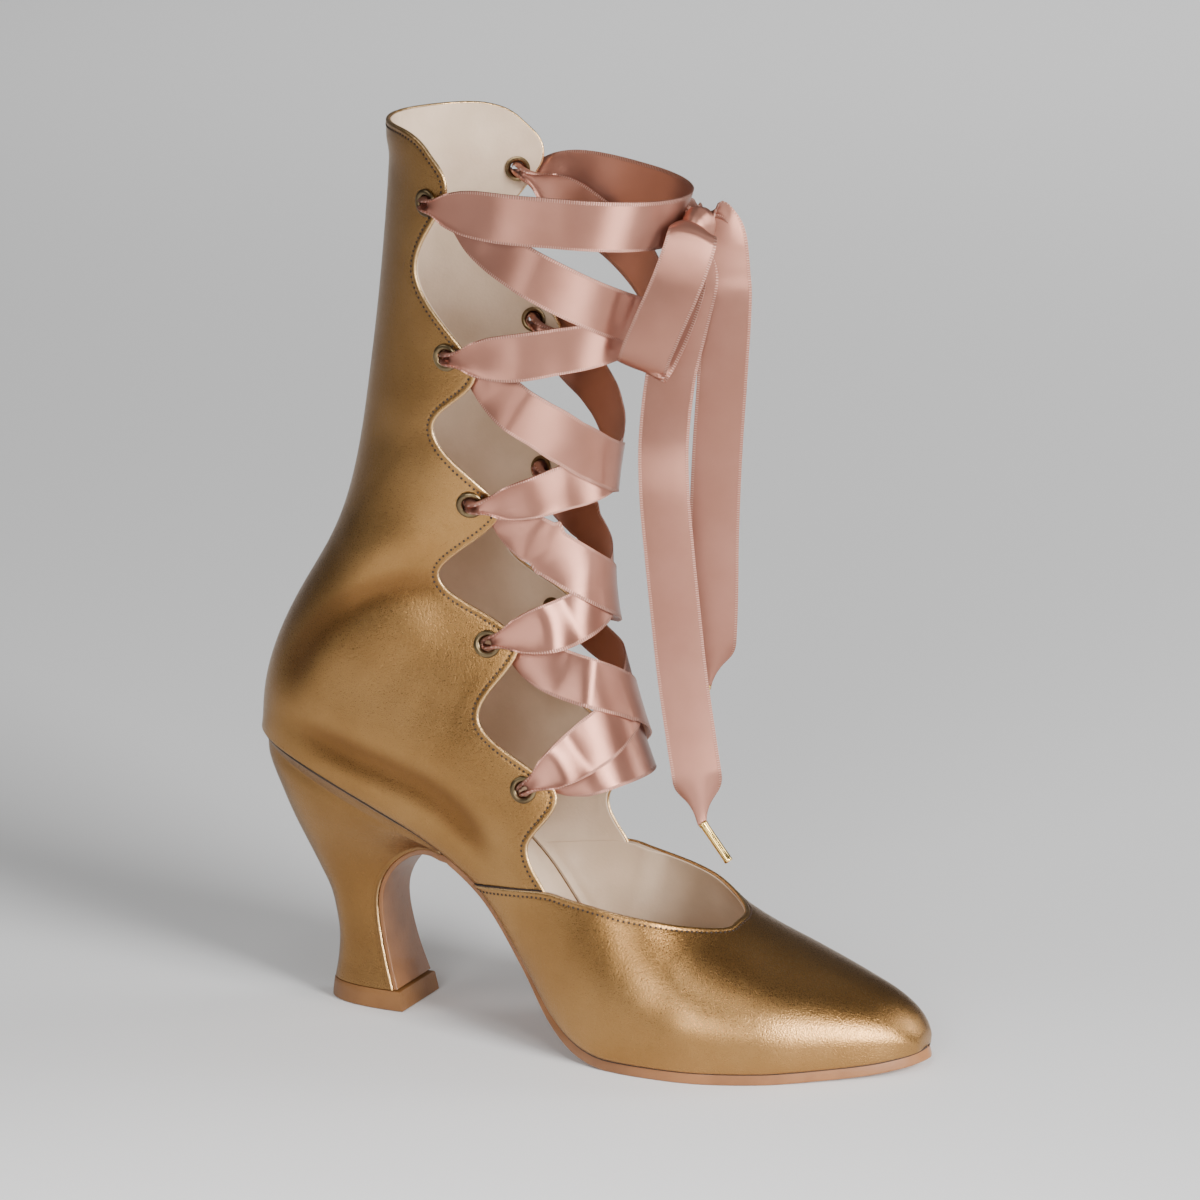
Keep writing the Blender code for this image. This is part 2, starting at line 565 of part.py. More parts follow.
def make_heel(materials, parts, root):
    u = np.linspace(0.0, len(BREAST) - 1.0, HEEL_SECTIONS)
    fronts = smooth_rows(BREAST, u)
    backs = smooth_rows(HEEL_BACK, u)
    rings = []
    seat_front = float(np.interp(-(BREAST[0, 0] + SEAT_TO_BREAST), -LAST[:, 0], np.arange(len(LAST))))
    s = np.linspace(seat_front, SEAT_END, HEEL_SIDES)
    c = last_row(s)
    seat = offset_path(np.stack([c["base_x"], c["base_z"]], axis=1), np.full(HEEL_SIDES, -GAP))
    outer = np.stack([seat[:, 0], c["swing"] - c["feather"], seat[:, 1]], axis=1)
    inner = np.stack([seat[:, 0], c["swing"] + c["feather"], seat[:, 1]], axis=1)
    rings.append(np.concatenate([outer[:-1], inner[::-1]]))
    for front, back in zip(fronts, backs):
        rings.append(heel_ring(front[:2], back[:2], front[2], back[2]))
    points, faces = heel_faces(np.array(rings))
    new_object("heel_block", mesh_of("heel_block", points, faces), materials["gold_leather"], parts, root)
    floor, top = (heel_ring((front, 0.0), (back, 0.0), half, TOP_PIECE_SWELL)
                  for back, front, half in TOP_PIECE)
    top[:, 2] = TOP_PIECE_HEIGHT
    points, faces = ring_loft(np.array([floor, top]))
    new_object("top_piece", mesh_of("top_piece", points, faces), materials["heel_rubber"], parts, root)


def heel_faces(rings):
    """Loft of D-shaped rings whose upper end is capped by strips across the seat."""
    n, m, _ = rings.shape
    points, faces = ring_loft(rings)
    del faces[0]
    for j in range(m // 2):
        if j + 1 == m - 2 - j:
            faces.append((j, j + 1, m - 1 - j))
        else:
            faces.append((j, j + 1, m - 2 - j, m - 1 - j))
    return points, faces


def make_insole(materials, parts, root):
    """Thin sock on the sole, rounded at both ends inside the upper."""
    s = np.linspace(*INSOLE_STATIONS, INSOLE_SECTIONS)
    c = last_row(s)
    base = np.stack([c["base_x"], c["base_z"]], axis=1)
    top = offset_path(base, np.full(len(s), INSOLE_THICK))
    to_end = np.minimum(INSOLE_TOE - c["base_x"], c["base_x"] - INSOLE_HEEL)
    rounding = np.sqrt(np.clip(to_end / INSOLE_ROUND, 0.02, 1.0))
    half = (c["feather"] - INSOLE_INSET) * rounding
    corners = ((base, -1), (base, 1), (top, 1), (top, -1))
    lines = [np.column_stack([face[:, 0], c["swing"] + side * half, face[:, 1]]) for face, side in corners]
    points, faces = ring_loft(np.stack(lines, axis=1))
    new_object("insole", mesh_of("insole", points, faces), materials["sock_leather"], parts, root)


def sheet_solid(face, back):
    """Closed solid between two grids of points (n, m, 3), split along the same diagonals.

    Matched diagonals keep the thickness of a sheet that twists.
    """
    n, m, _ = face.shape
    top = np.arange(n * m).reshape(n, m)
    low = top + n * m
    faces = []
    for i in range(n - 1):
        for j in range(m - 1):
            for grid in (top, low):
                faces.append((grid[i, j], grid[i + 1, j], grid[i + 1, j + 1]))
                faces.append((grid[i, j], grid[i + 1, j + 1], grid[i, j + 1]))
        for j in (0, m - 1):
            faces.append((top[i, j], top[i + 1, j], low[i + 1, j], low[i, j]))
    for i in (0, n - 1):
        for j in range(m - 1):
            faces.append((top[i, j], top[i, j + 1], low[i, j + 1], low[i, j]))
    faces = [tuple(int(k) for k in loop) for loop in faces]
    return np.concatenate([face.reshape(-1, 3), back.reshape(-1, 3)]), faces


def arc_length(points):
    return np.concatenate([[0.0], np.cumsum(np.linalg.norm(np.diff(points, axis=0), axis=1))])


def soft_step(share):
    """Smooth step from 0 to 1 as share goes from 0 to 1."""
    share = np.clip(share, 0.0, 1.0)
    return share * share * (3 - 2 * share)


def opened(distance, gathered=RIBBON_GATHERED, length=GATHER_LENGTH):
    """Ribbon width at a distance from where it is gathered."""
    return gathered + (RIBBON_WIDTH - gathered) * soft_step(distance / length)


def shin_station(height):
    """Station of the last whose crest has this height, above the throat."""
    return float(np.interp(height, LAST[THROAT:, 3], np.arange(THROAT, len(LAST))))


def skin(s, g):
    """Point of the last at station s, g from -1 at the back over the outer side to 0 at the shin and 1."""
    return last_point(s, 1.0 - np.abs(g), np.sign(g))


def climb(start, middle, end, g):
    """Stations of an even climb round the shaft through three places (s, g), for each g.

    The climb is measured along an axis that leans so that the middle is halfway up.
    """
    ends = skin(*np.array([start, middle, end]).T)
    lean = -(ends[1, 2] - (ends[0, 2] + ends[2, 2]) / 2) / (ends[1, 0] - (ends[0, 0] + ends[2, 0]) / 2)
    height = ends[:, 2] + lean * ends[:, 0]
    s = np.linspace(THROAT, len(LAST) - 1.0, 1201)[:, None]
    columns = skin(s, g)
    columns = (columns[..., 2] + lean * columns[..., 0]).T
    share = np.linspace(0.0, 1.0, len(g))
    for _ in range(4):
        wanted = height[0] + (height[2] - height[0]) * share
        stations = np.array([np.interp(w, column, s[:, 0]) for w, column in zip(wanted, columns)])
        length = arc_length(skin(stations, g))
        share = length / length[-1]
    return stations


def lace_strip(start, height, end, offsets, over=0.0, stations=STRIP_SECTIONS):
    """Ribbon strip on the last between two places (s, g), which passes the shin at a height.

    Its distance from the leather goes from offsets[0] by offsets[1] at the shin to offsets[2]. over lifts
    its middle above the strip that it crosses.
    """
    u = np.linspace(0.0, 1.0, 161)
    g = start[1] + (end[1] - start[1]) * u
    s = climb(start, (shin_station(height), 0.0), end, g)
    length = arc_length(skin(s, g))
    v = np.linspace(-1.0, 1.0, stations)
    closer = v * (LACE_CLOSER + (1.0 - LACE_CLOSER) * v * v)
    at = length[-1] / 2 + closer * (length[-1] / 2 - LACE_FROM_EYELET)
    u, g, s = (np.interp(at, length, value) for value in (u, g, s))
    leave, arrive = (soft_step((u - turn) / LACE_SLOPE) for turn in LACE_TURNS)
    out = offsets[0] + (offsets[1] + over - offsets[0]) * leave + (offsets[2] - offsets[1] - over) * arrive
    half = np.minimum(opened(at), opened(length[-1] - at)) / 2
    step = 0.01
    by_s = (skin(s + step, g) - skin(s - step, g)) / (2 * step)
    by_g = (skin(s, g + step) - skin(s, g - step)) / (2 * step)
    along = np.gradient(skin(s, g), axis=0)
    across = np.cross(np.cross(by_s, by_g), along)
    across /= np.linalg.norm(across, axis=1, keepdims=True)
    axes = np.stack([by_s, by_g], axis=2)
    shift = np.einsum("nij,nj->ni", np.linalg.pinv(axes), across)
    faces = []
    for lift in (LACE_THICK / 2, -LACE_THICK / 2):
        columns = []
        for share in (-1, 0, 1):
            s_at = s + share * half * shift[:, 0]
            g_at = g + share * half * shift[:, 1]
            normal = last_normal(s_at, 1.0 - np.abs(g_at), np.where(g_at < 0, -1, 1))
            columns.append(skin(s_at, g_at) + (out + lift)[:, None] * normal)
        faces.append(np.stack(columns, axis=1))
    return sheet_solid(*faces)


def joined_strips(name, strips, materials, parts, cutters, root):
    """One node from one strip, or from two crossing strips joined."""
    objects = []
    for k, (points, faces) in enumerate(strips):
        label = name if k == 0 else f"{name}_join"
        home = parts if k == 0 else cutters
        mesh = mesh_of(label, points, faces)
        objects.append(new_object(label, mesh, materials["rose_ribbon"], home, root))
    if len(objects) == 2:
        objects[1].hide_render = True
        objects[1].display_type = "WIRE"
        union = objects[0].modifiers.new("joined", "BOOLEAN")
        union.operation = "UNION"
        union.object = objects[1]


def make_lacing(materials, parts, cutters, root):
    """Crossing ribbon strips, the bar between the lowest eyelets and the pair under the knot."""
    eyelets = [(s, 1.0 - p) for s, p in side_place(EYELETS)]
    through = (LACE_OUTSIDE, LACE_FRONT, LACE_INSIDE)
    for k, height in enumerate(CROSS_HEIGHTS):
        (s0, g0), (s1, g1) = eyelets[k], eyelets[k + 1]
        strips = [
            lace_strip((s0, -g0), height, (s1, g1), through),
            lace_strip((s0, g0), height, (s1, -g1), through, LACE_OVER),
        ]
        joined_strips(f"ribbon_cross_{k + 1}", strips, materials, parts, cutters, root)
    s0, g0 = eyelets[0]
    inside = (LACE_INSIDE, LACE_INSIDE + BAR_RISE, LACE_INSIDE)
    bar = lace_strip((s0, -g0), BAR_HEIGHT, (s0, g0), inside)
    joined_strips("ribbon_bar", [bar], materials, parts, cutters, root)
    s1, g1 = eyelets[-1]
    outside = (LACE_OUTSIDE, LACE_FRONT, LACE_OUTSIDE)
    top = lace_strip((s1, -g1), TOP_HEIGHT, (s1, g1), outside, stations=TOP_STRIP_SECTIONS)
    joined_strips("ribbon_top", [top], materials, parts, cutters, root)


def free_ribbon(name, route, across, stations, taper, materials, parts, root):
    """Ribbon along a hand-placed route; taper gives the widths at its two ends and its second length."""
    fine = smooth_rows(np.array(route), np.linspace(0.0, len(route) - 1.0, 400))
    length = arc_length(fine)
    at = np.linspace(0.0, length[-1], stations)
    points = np.stack([np.interp(at, length, fine[:, k]) for k in range(3)], axis=1)
    start, end, end_length = taper
    widths = np.minimum(opened(at, start), opened(length[-1] - at, end, end_length))
    along = np.gradient(points, axis=0)
    along /= np.linalg.norm(along, axis=1, keepdims=True)
    across = np.array(across) - along * (along @ np.array(across))[:, None]
    across /= np.linalg.norm(across, axis=1, keepdims=True)
    lift = RIBBON_THICK / 2 * np.cross(along, across)
    lines = np.stack([points + share * widths[:, None] / 2 * across for share in (-1, 1)], axis=1)
    solid = sheet_solid(lines + lift[:, None], lines - lift[:, None])
    new_object(name, mesh_of(name, *solid), materials["rose_ribbon"], parts, root)


def make_bow(materials, parts, root):
    """Knot, two loops, two ends and their metal tips."""
    mesh = bpy.data.meshes.new("bow_knot")
    bm = bmesh.new()
    bmesh.ops.create_uvsphere(bm, u_segments=KNOT_SIDES, v_segments=KNOT_RINGS, radius=MM)
    bmesh.ops.scale(bm, vec=KNOT_RADII, verts=bm.verts)
    bm.to_mesh(mesh)
    bm.free()
    mesh.shade_smooth()
    knot = new_object("bow_knot", mesh, materials["rose_ribbon"], parts, root)
    knot.location = Vector(KNOT_CENTRE) * MM
    both = (RIBBON_GATHERED, RIBBON_GATHERED, GATHER_LENGTH)
    tip = (RIBBON_GATHERED, 2 * AGLET_RADIUS, TIP_LENGTH)
    ribbons = (
        ("bow_loop_outer", OUTER_LOOP, OUTER_RIGHT, LOOP_SECTIONS, both),
        ("bow_loop_inner", INNER_LOOP, INNER_RIGHT, LOOP_SECTIONS, both),
        ("ribbon_tail_outer", OUTER_TAIL, FACE_RIGHT, OUTER_TAIL_SECTIONS, tip),
        ("ribbon_tail_inner", INNER_TAIL, FACE_RIGHT, INNER_TAIL_SECTIONS, tip),
    )
    for ribbon in ribbons:
        free_ribbon(*ribbon, materials, parts, root)
    for name, (start, end) in (("aglet_outer", OUTER_AGLET), ("aglet_inner", INNER_AGLET)):
        a = Vector(start) * MM
        b = Vector(end) * MM
        mesh = bpy.data.meshes.new(name)
        bm = bmesh.new()
        bmesh.ops.create_cone(bm, cap_ends=True, segments=AGLET_SIDES, radius1=AGLET_RADIUS * MM,
                              radius2=AGLET_RADIUS * MM, depth=(b - a).length)
        bm.to_mesh(mesh)
        bm.free()
        aglet = new_object(name, mesh, materials["gold_metal"], parts, root)
        aglet.location = (a + b) / 2
        aglet.rotation_mode = "QUATERNION"
        aglet.rotation_quaternion = (b - a).to_track_quat("Z", "Y")


def main():
    clear_scene()
    materials = make_materials()
    parts, cutters = make_collections()
    root = bpy.data.objects.new("boot", None)
    parts.objects.link(root)
    make_upper(materials, parts, cutters, root)
    make_outsole(materials, parts, root)
    make_heel(materials, parts, root)
    make_insole(materials, parts, root)
    make_eyelets(materials, parts, root)
    make_lacing(materials, parts, cutters, root)
    make_bow(materials, parts, root)


main()
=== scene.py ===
# %% [markdown]
# # A laced boot with ribbon
# This lesson dresses the solids of one ladies' boot so that it looks like the real thing. The solids come
# in as a fixed frame. Each piece of leather, metal and ribbon is then worked out as a smooth surface that
# lies where its solid is. Sizes are written in millimetres, and meshes are made in metres.

# %% Load the frame
import math

import bmesh
import bpy
import numpy as np
from mathutils import Matrix, Vector


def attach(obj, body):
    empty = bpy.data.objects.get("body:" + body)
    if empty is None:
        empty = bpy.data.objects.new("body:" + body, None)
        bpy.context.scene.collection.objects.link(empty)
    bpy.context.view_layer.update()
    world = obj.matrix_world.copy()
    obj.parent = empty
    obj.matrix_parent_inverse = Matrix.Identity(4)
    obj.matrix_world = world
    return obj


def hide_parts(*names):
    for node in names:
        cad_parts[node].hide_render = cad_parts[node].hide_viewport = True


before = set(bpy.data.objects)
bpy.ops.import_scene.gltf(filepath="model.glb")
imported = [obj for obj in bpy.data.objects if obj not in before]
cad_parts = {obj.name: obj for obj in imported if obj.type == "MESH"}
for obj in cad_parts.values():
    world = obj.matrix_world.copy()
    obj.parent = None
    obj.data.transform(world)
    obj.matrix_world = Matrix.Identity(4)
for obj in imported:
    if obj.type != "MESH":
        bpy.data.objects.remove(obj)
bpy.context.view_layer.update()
MM = 0.001

# %% [markdown]
# ## The camera
# The boot is seen from its outer side, a little from the front and from above, with a long lens from two
# metres away. A long lens keeps heel and toe in proportion. The camera looks at the middle of the boot.

# %% Camera
AZIMUTH, ELEVATION, DISTANCE = math.radians(24.0), math.radians(14.0), 2.0
AIM = Vector((80.5, 0.0, 143.0)) * MM
FOCAL_PIXELS, FRAME_PIXELS, SENSOR = 6240.0, 1200.0, 36.0


def add_object(name, data):
    """New object with that name and data, linked to the scene."""
    made = bpy.data.objects.new(name, data)
    bpy.context.scene.collection.objects.link(made)
    return made


def look_along(thing, way):
    """Turn a camera or a light so that it looks along a direction."""
    thing.rotation_euler = way.to_track_quat("-Z", "Y").to_euler()


def camera_back(azimuth, elevation):
    """Unit vector from the aim to the camera: azimuth 0 looks along +Y, elevation is above the horizon."""
    level = math.cos(elevation)
    return Vector((math.sin(azimuth) * level, -math.cos(azimuth) * level, math.sin(elevation)))


camera_data = bpy.data.cameras.new("camera")
camera_data.sensor_width = SENSOR
camera_data.lens = SENSOR * FOCAL_PIXELS / FRAME_PIXELS
camera = add_object("camera", camera_data)
back = camera_back(AZIMUTH, ELEVATION)
camera.location = AIM + DISTANCE * back
look_along(camera, -back)
bpy.context.scene.camera = camera
print("lens", round(camera_data.lens, 1), "mm at", [round(v, 3) for v in camera.location])

# %% [markdown]
# ## Reading a table as a smooth curve
# The boot's shape is written down as short tables: sections of the last, and outlines seen from the side.
# A Catmull-Rom curve runs through every row of a table, so the numbers stay easy to read and to change.
# Straight interpolation would leave a corner at each row.


# %% Tables to curves
def smooth_rows(table, at):
    """Catmull-Rom curve through the rows of a table: at counts rows from 0, fractions lie between rows."""
    at = np.asarray(at, float)
    top = len(table) - 1
    i = np.clip(np.floor(at).astype(int), 0, top - 1)
    t = (at - i)[..., None]
    p1 = table[i]
    p2 = table[i + 1]
    p0 = np.where((i > 0)[..., None], table[np.maximum(i - 1, 0)], 2 * p1 - p2)
    p3 = np.where((i < top - 1)[..., None], table[np.minimum(i + 2, top)], 2 * p2 - p1)
    cubic = 3 * (p1 - p2) + p3 - p0
    square = 2 * p0 - 5 * p1 + 4 * p2 - p3
    return p1 + 0.5 * t * (p2 - p0 + t * (square + t * cubic))


def smooth_line(table, count):
    """The curve through a table as count points, from its first row to its last."""
    table = np.asarray(table, float)
    return smooth_rows(table, np.linspace(0.0, len(table) - 1.0, count))


def between(a, b, share):
    """Straight mix of two values: a at share 0, b at share 1."""
    return a + (b - a) * share


def soft_step(share):
    """Smooth step: 0 before 0, 1 after 1, and 3t^2 - 2t^3 between."""
    share = np.clip(share, 0.0, 1.0)
    return share * share * (3 - 2 * share)


def arc_length(points):
    """Running length along a line of points."""
    return np.concatenate([[0.0], np.cumsum(np.linalg.norm(np.diff(points, axis=0), axis=1))])


def read_along(values, length, at):
    """Rows of values at places along a line: each column is interpolated over the running length."""
    return np.stack([np.interp(at, length, column) for column in values.T], axis=1)


def evenly(points, count):
    """The same line with count points at even spacing along its length."""
    length = arc_length(points)
    return read_along(points, length, np.linspace(0.0, length[-1], count))


print("a smooth step has gone", soft_step(0.25), "of its way after a quarter")

# %% [markdown]
# ## The last
# A shoemaker builds a boot on a last, a form of the foot. Here it is a row of sections from the toe to
# the top of the shaft. Each section leans from its base (sole, then back seam) to its crest (ridge of the
# vamp, instep, then shin), and has an elliptic lower half and a rounder upper half. Two numbers then name
# any place on the leather: s, the station along the sections, and g, which runs from -1 at the base over
# the outer side to 0 at the crest and on to 1 over the inner side.

# %% Sections of the last
LAST_COLUMNS = ("base_x", "base_z", "crest_x", "crest_z", "swing", "half", "feather", "belly", "crown")
LAST = np.array([
    (193.2, 6.8, 193.2, 6.8, 4.0, 0.0, 0.0, 0.45, 2.0),
    (191.4, 6.3, 191.7, 11.6, 3.6, 6.2, 5.9, 0.45, 2.0),
    (187.3, 5.6, 187.4, 17.4, 2.9, 12.0, 11.5, 0.42, 2.0),
    (180.0, 4.8, 179.6, 22.8, 1.7, 18.4, 17.6, 0.38, 2.0),
    (168.0, 4.2, 167.5, 28.0, 0.0, 26.2, 25.0, 0.34, 2.0),
    (152.0, 3.8, 151.0, 34.4, -1.6, 35.4, 34.2, 0.30, 1.95),
    (133.0, 3.8, 131.0, 43.6, -3.5, 40.6, 39.4, 0.27, 1.9),
    (115.0, 3.8, 120.6, 53.4, -5.0, 40.4, 39.0, 0.26, 1.85),
    (100.0, 3.9, 112.0, 68.6, -5.4, 38.8, 36.6, 0.26, 1.8),
    (88.5, 6.4, 104.5, 85.0, -5.0, 36.4, 32.4, 0.28, 1.8),
    (78.0, 13.0, 98.0, 100.0, -3.6, 34.6, 28.0, 0.30, 1.8),
    (66.0, 28.0, 92.5, 114.5, -2.2, 33.2, 24.4, 0.32, 1.85),
    (51.0, 48.0, 88.4, 127.5, -1.4, 32.6, 23.4, 0.34, 1.9),
    (33.0, 62.3, 86.2, 138.0, -0.9, 32.4, 24.6, 0.34, 1.95),
    (12.0, 73.4, 85.2, 147.0, -0.5, 32.2, 27.2, 0.33, 2.0),
    (-8.0, 82.6, 85.0, 154.5, -0.2, 31.8, 27.8, 0.31, 2.0),
    (-23.0, 88.2, 85.0, 161.0, 0.0, 31.4, 23.6, 0.29, 2.0),
    (-32.0, 90.6, 85.2, 166.5, 0.0, 31.0, 16.0, 0.28, 2.0),
    (-36.2, 91.8, 85.5, 171.0, 0.0, 30.8, 8.4, 0.28, 2.0),
    (-37.6, 93.0, 85.9, 175.0, 0.0, 30.6, 0.0, 0.28, 2.0),
    (-37.9, 103.0, 86.4, 180.0, 0.0, 30.4, 0.0, 0.30, 2.0),
    (-33.8, 119.5, 87.2, 187.0, 0.0, 30.4, 0.0, 0.34, 2.0),
    (-25.4, 136.5, 88.2, 195.0, 0.0, 30.8, 0.0, 0.40, 2.0),
    (-14.6, 153.0, 89.4, 203.0, 0.0, 31.4, 0.0, 0.44, 2.0),
    (-7.2, 169.0, 91.0, 212.0, 0.0, 32.0, 0.0, 0.46, 2.0),
    (-2.0, 188.0, 93.6, 223.0, 0.0, 32.8, 0.0, 0.48, 2.0),
    (1.4, 209.5, 97.4, 235.0, 0.0, 34.0, 0.0, 0.49, 2.0),
    (4.6, 231.0, 101.4, 248.0, 0.0, 35.4, 0.0, 0.50, 2.0),
    (7.0, 252.0, 105.6, 261.0, 0.0, 37.0, 0.0, 0.50, 2.0),
    (8.6, 273.0, 110.2, 275.0, 0.0, 38.6, 0.0, 0.50, 2.0),
    (9.2, 297.0, 116.0, 296.0, 0.0, 40.2, 0.0, 0.50, 2.0),
])
LAST_TOP = len(LAST) - 1.0
THROAT, SEAT_END = 6, 19
SOLE_TOP = 3.8


def last_row(s):
    """Columns of the last at station s, as a dictionary; the base never sinks below the sole's top."""
    row = smooth_rows(LAST, s)
    c = {name: row[..., k] for k, name in enumerate(LAST_COLUMNS)}
    c["feather"] = np.where(np.asarray(s) >= SEAT_END, 0.0, np.maximum(c["feather"], 0.0))
    c["base_z"] = np.maximum(c["base_z"], SOLE_TOP)
    return c


def skin(s, g):
    """Point at (s, g): an ellipse from the feather to the widest point, then a superellipse to the crest."""
    s, g = np.broadcast_arrays(np.asarray(s, float), np.asarray(g, float))
    c = last_row(s)
    angle = math.pi * np.clip(1.0 - np.abs(g), 0.0, 1.0)
    rise = np.abs(np.cos(angle))
    reach = np.abs(np.sin(angle))
    power = 2.0 / c["crown"]
    low = angle <= math.pi / 2
    wide = np.where(low, between(c["feather"], c["half"], reach), c["half"] * reach ** power)
    along = np.where(low, c["belly"] * (1 - rise), between(c["belly"], 1.0, rise ** power))
    x = between(c["base_x"], c["crest_x"], along)
    z = between(c["base_z"], c["crest_z"], along)
    y = c["swing"] + np.sign(g) * wide
    return np.stack([x, y, z], axis=-1)


def slopes(s, g, step_s=0.02, step_g=0.004):
    """Change of the skin with s and with g, from differences to both sides that stay on the last."""
    s0, s1 = np.clip(s - step_s, 0.0, LAST_TOP), np.clip(s + step_s, 0.0, LAST_TOP)
    g0, g1 = np.clip(g - step_g, -1.0, 1.0), np.clip(g + step_g, -1.0, 1.0)
    by_s = (skin(s1, g) - skin(s0, g)) / (s1 - s0)[..., None]
    by_g = (skin(s, g1) - skin(s, g0)) / (g1 - g0)[..., None]
    return by_s, by_g


def unit(vectors):
    """Vectors brought to length 1."""
    return vectors / np.maximum(np.linalg.norm(vectors, axis=-1, keepdims=True), 1e-9)


def skin_normal(s, g):
    """Outward unit normal of the skin: the cross product of its two slopes."""
    by_s, by_g = slopes(np.asarray(s, float), np.asarray(g, float))
    return unit(np.cross(by_g, by_s))


print("last", np.round(skin(np.array([6.0, 14.0, 29.0]), np.array([0.0, -0.5, 0.5])), 1).tolist())


# %% From a side view to the last
SLACK = 0.03    # share of a section's line that a point may lie beyond its ends


def side_place(points, side):
    """(s, g) on one side of the last for points (x, z) of the side view.

    For each point the section whose leaning line passes through it is looked up, and the share of that line
    gives the place on the half ring.
    """
    points = np.asarray(points, float)
    s = np.linspace(0.6, LAST_TOP, 3001)
    c = last_row(s)
    line_x, line_z = c["crest_x"] - c["base_x"], c["crest_z"] - c["base_z"]
    dx = points[:, :1] - c["base_x"]
    dz = points[:, 1:] - c["base_z"]
    off = (line_x * dz - line_z * dx) / np.hypot(line_x, line_z)
    share = (line_x * dx + line_z * dz) / (line_x**2 + line_z**2)
    score = np.where((share > -SLACK) & (share < 1 + SLACK), np.abs(off), np.inf)
    k = np.clip(np.argmin(score, axis=1), 1, len(s) - 2)
    i = np.arange(len(points))
    slope = off[i, k + 1] - off[i, k - 1]
    k_fine = k - np.clip(2 * off[i, k] / np.where(np.abs(slope) < 1e-9, 1.0, slope), -1.0, 1.0)
    s_at = np.interp(k_fine, np.arange(len(s)), s)
    c = last_row(s_at)
    line_x, line_z = c["crest_x"] - c["base_x"], c["crest_z"] - c["base_z"]
    across = line_x * (points[:, 0] - c["base_x"]) + line_z * (points[:, 1] - c["base_z"])
    q = np.clip(across / (line_x**2 + line_z**2), 0.0, 1.0)
    low = np.arccos(np.clip(1 - q / c["belly"], 0.0, 1.0))
    upper_share = np.clip((q - c["belly"]) / (1 - c["belly"]), 0.0, 1.0)
    high = math.pi - np.arccos(upper_share ** (c["crown"] / 2))
    p = np.where(q < c["belly"], low, high) / math.pi
    return np.stack([s_at, side * (1.0 - p)], axis=1)


print("ankle at", np.round(side_place([(20.0, 120.0)], -1), 2).tolist())

# %% [markdown]
# ## Making a mesh from grids
# Every piece is one or more grids of points. A helper turns grids into quads, closes them where asked,
# merges the points that coincide, and puts the piece on the boot's one rigid body. Extra numbers per
# point, such as the distance from a folded edge, go in as attributes that a material can read.

# %% Grids to pieces
MERGE, SLIVER = 0.004, 0.002


def quads(rows, columns, start=0, closed=False):
    """Corners of a grid's quads, numbered row by row; closed joins the last column to the first."""
    number = start + np.arange(rows * columns).reshape(rows, columns)
    if closed:
        number = np.concatenate([number, number[:, :1]], axis=1)
    corners = [number[:-1, :-1], number[1:, :-1], number[1:, 1:], number[:-1, 1:]]
    return np.stack(corners, axis=-1).reshape(-1, 4)


def piece_from(name, grids, material, closed=False, caps=False, values=None, sharp=50.0, ends=()):
    """Mesh object from grids (rows, columns, 3) in millimetres, with one value per point and name in values.

    caps closes the first and last row of each grid, and ends are further closing polygons of points.
    """
    faces = []
    start = 0
    for grid in grids:
        rows, columns = grid.shape[:2]
        faces += quads(rows, columns, start, closed).tolist()
        if caps:
            faces.append(list(range(start, start + columns)))
            faces.append(list(range(start + (rows - 1) * columns, start + rows * columns)))
        start += rows * columns
    for polygon in ends:
        faces.append(list(range(start, start + len(polygon))))
        start += len(polygon)
    points = np.concatenate([grid.reshape(-1, 3) for grid in [*grids, *ends]])
    mesh = bpy.data.meshes.new(name)
    mesh.from_pydata((points * MM).tolist(), [], faces)
    for key, arrays in (values or {}).items():
        layer = mesh.attributes.new(key, "FLOAT", "POINT")
        flat = np.concatenate([np.asarray(a, float).ravel() for a in arrays])
        flat = np.concatenate([flat, np.full(len(points) - len(flat), flat[-1])])
        layer.data.foreach_set("value", flat.astype(np.float32))
    bm = bmesh.new()
    bm.from_mesh(mesh)
    bmesh.ops.remove_doubles(bm, verts=bm.verts, dist=MERGE * MM)
    bmesh.ops.dissolve_degenerate(bm, dist=SLIVER * MM, edges=bm.edges)
    bmesh.ops.holes_fill(bm, edges=[edge for edge in bm.edges if edge.is_boundary], sides=0)
    bmesh.ops.recalc_face_normals(bm, faces=bm.faces)
    open_edges = sum(1 for edge in bm.edges if len(edge.link_faces) != 2)
    bm.to_mesh(mesh)
    bm.free()
    mesh.shade_smooth()
    mesh.set_sharp_from_angle(angle=math.radians(sharp))
    mesh.materials.append(material)
    piece = add_object(name, mesh)
    print(name, len(mesh.polygons), "faces, edges without two faces:", open_edges)
    return piece


def on_boot(piece, slot, *nodes):
    """Put a piece on the boot's body and hide the solids that it stands for; slot is not used."""
    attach(piece, "root")
    if nodes:
        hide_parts(*nodes)
    return piece


def grid_normals(grid):
    """Unit normals of a grid: cross product of the differences along rows and along columns."""
    return unit(np.cross(np.gradient(grid, axis=0), np.gradient(grid, axis=1)))


print("a grid of 3 by 4 points has", len(quads(3, 4)), "faces,", len(quads(3, 4, closed=True)), "in a ring")

# %% [markdown]
# ## Shader groups
# Leather grain, slow changes of tone and woven thread are each a node group with named inputs and outputs.
# It is made once, and every material that needs it places it. A group puts out only values, and every
# material keeps its own shader.


# %% Node helpers
def add_node(tree, kind, inputs=None, **settings):
    """New node of a kind, with its settings, and inputs that are either values or sockets to link."""
    node = tree.nodes.new(kind)
    for key, value in settings.items():
        setattr(node, key, value)
    for key, value in (inputs or {}).items():
        if isinstance(value, bpy.types.NodeSocket):
            tree.links.new(value, node.inputs[key])
        else:
            node.inputs[key].default_value = value
    return node


def calc(tree, operation, *values):
    """Math node on values or sockets; returns its output."""
    return add_node(tree, "ShaderNodeMath", dict(enumerate(values)), operation=operation).outputs[0]


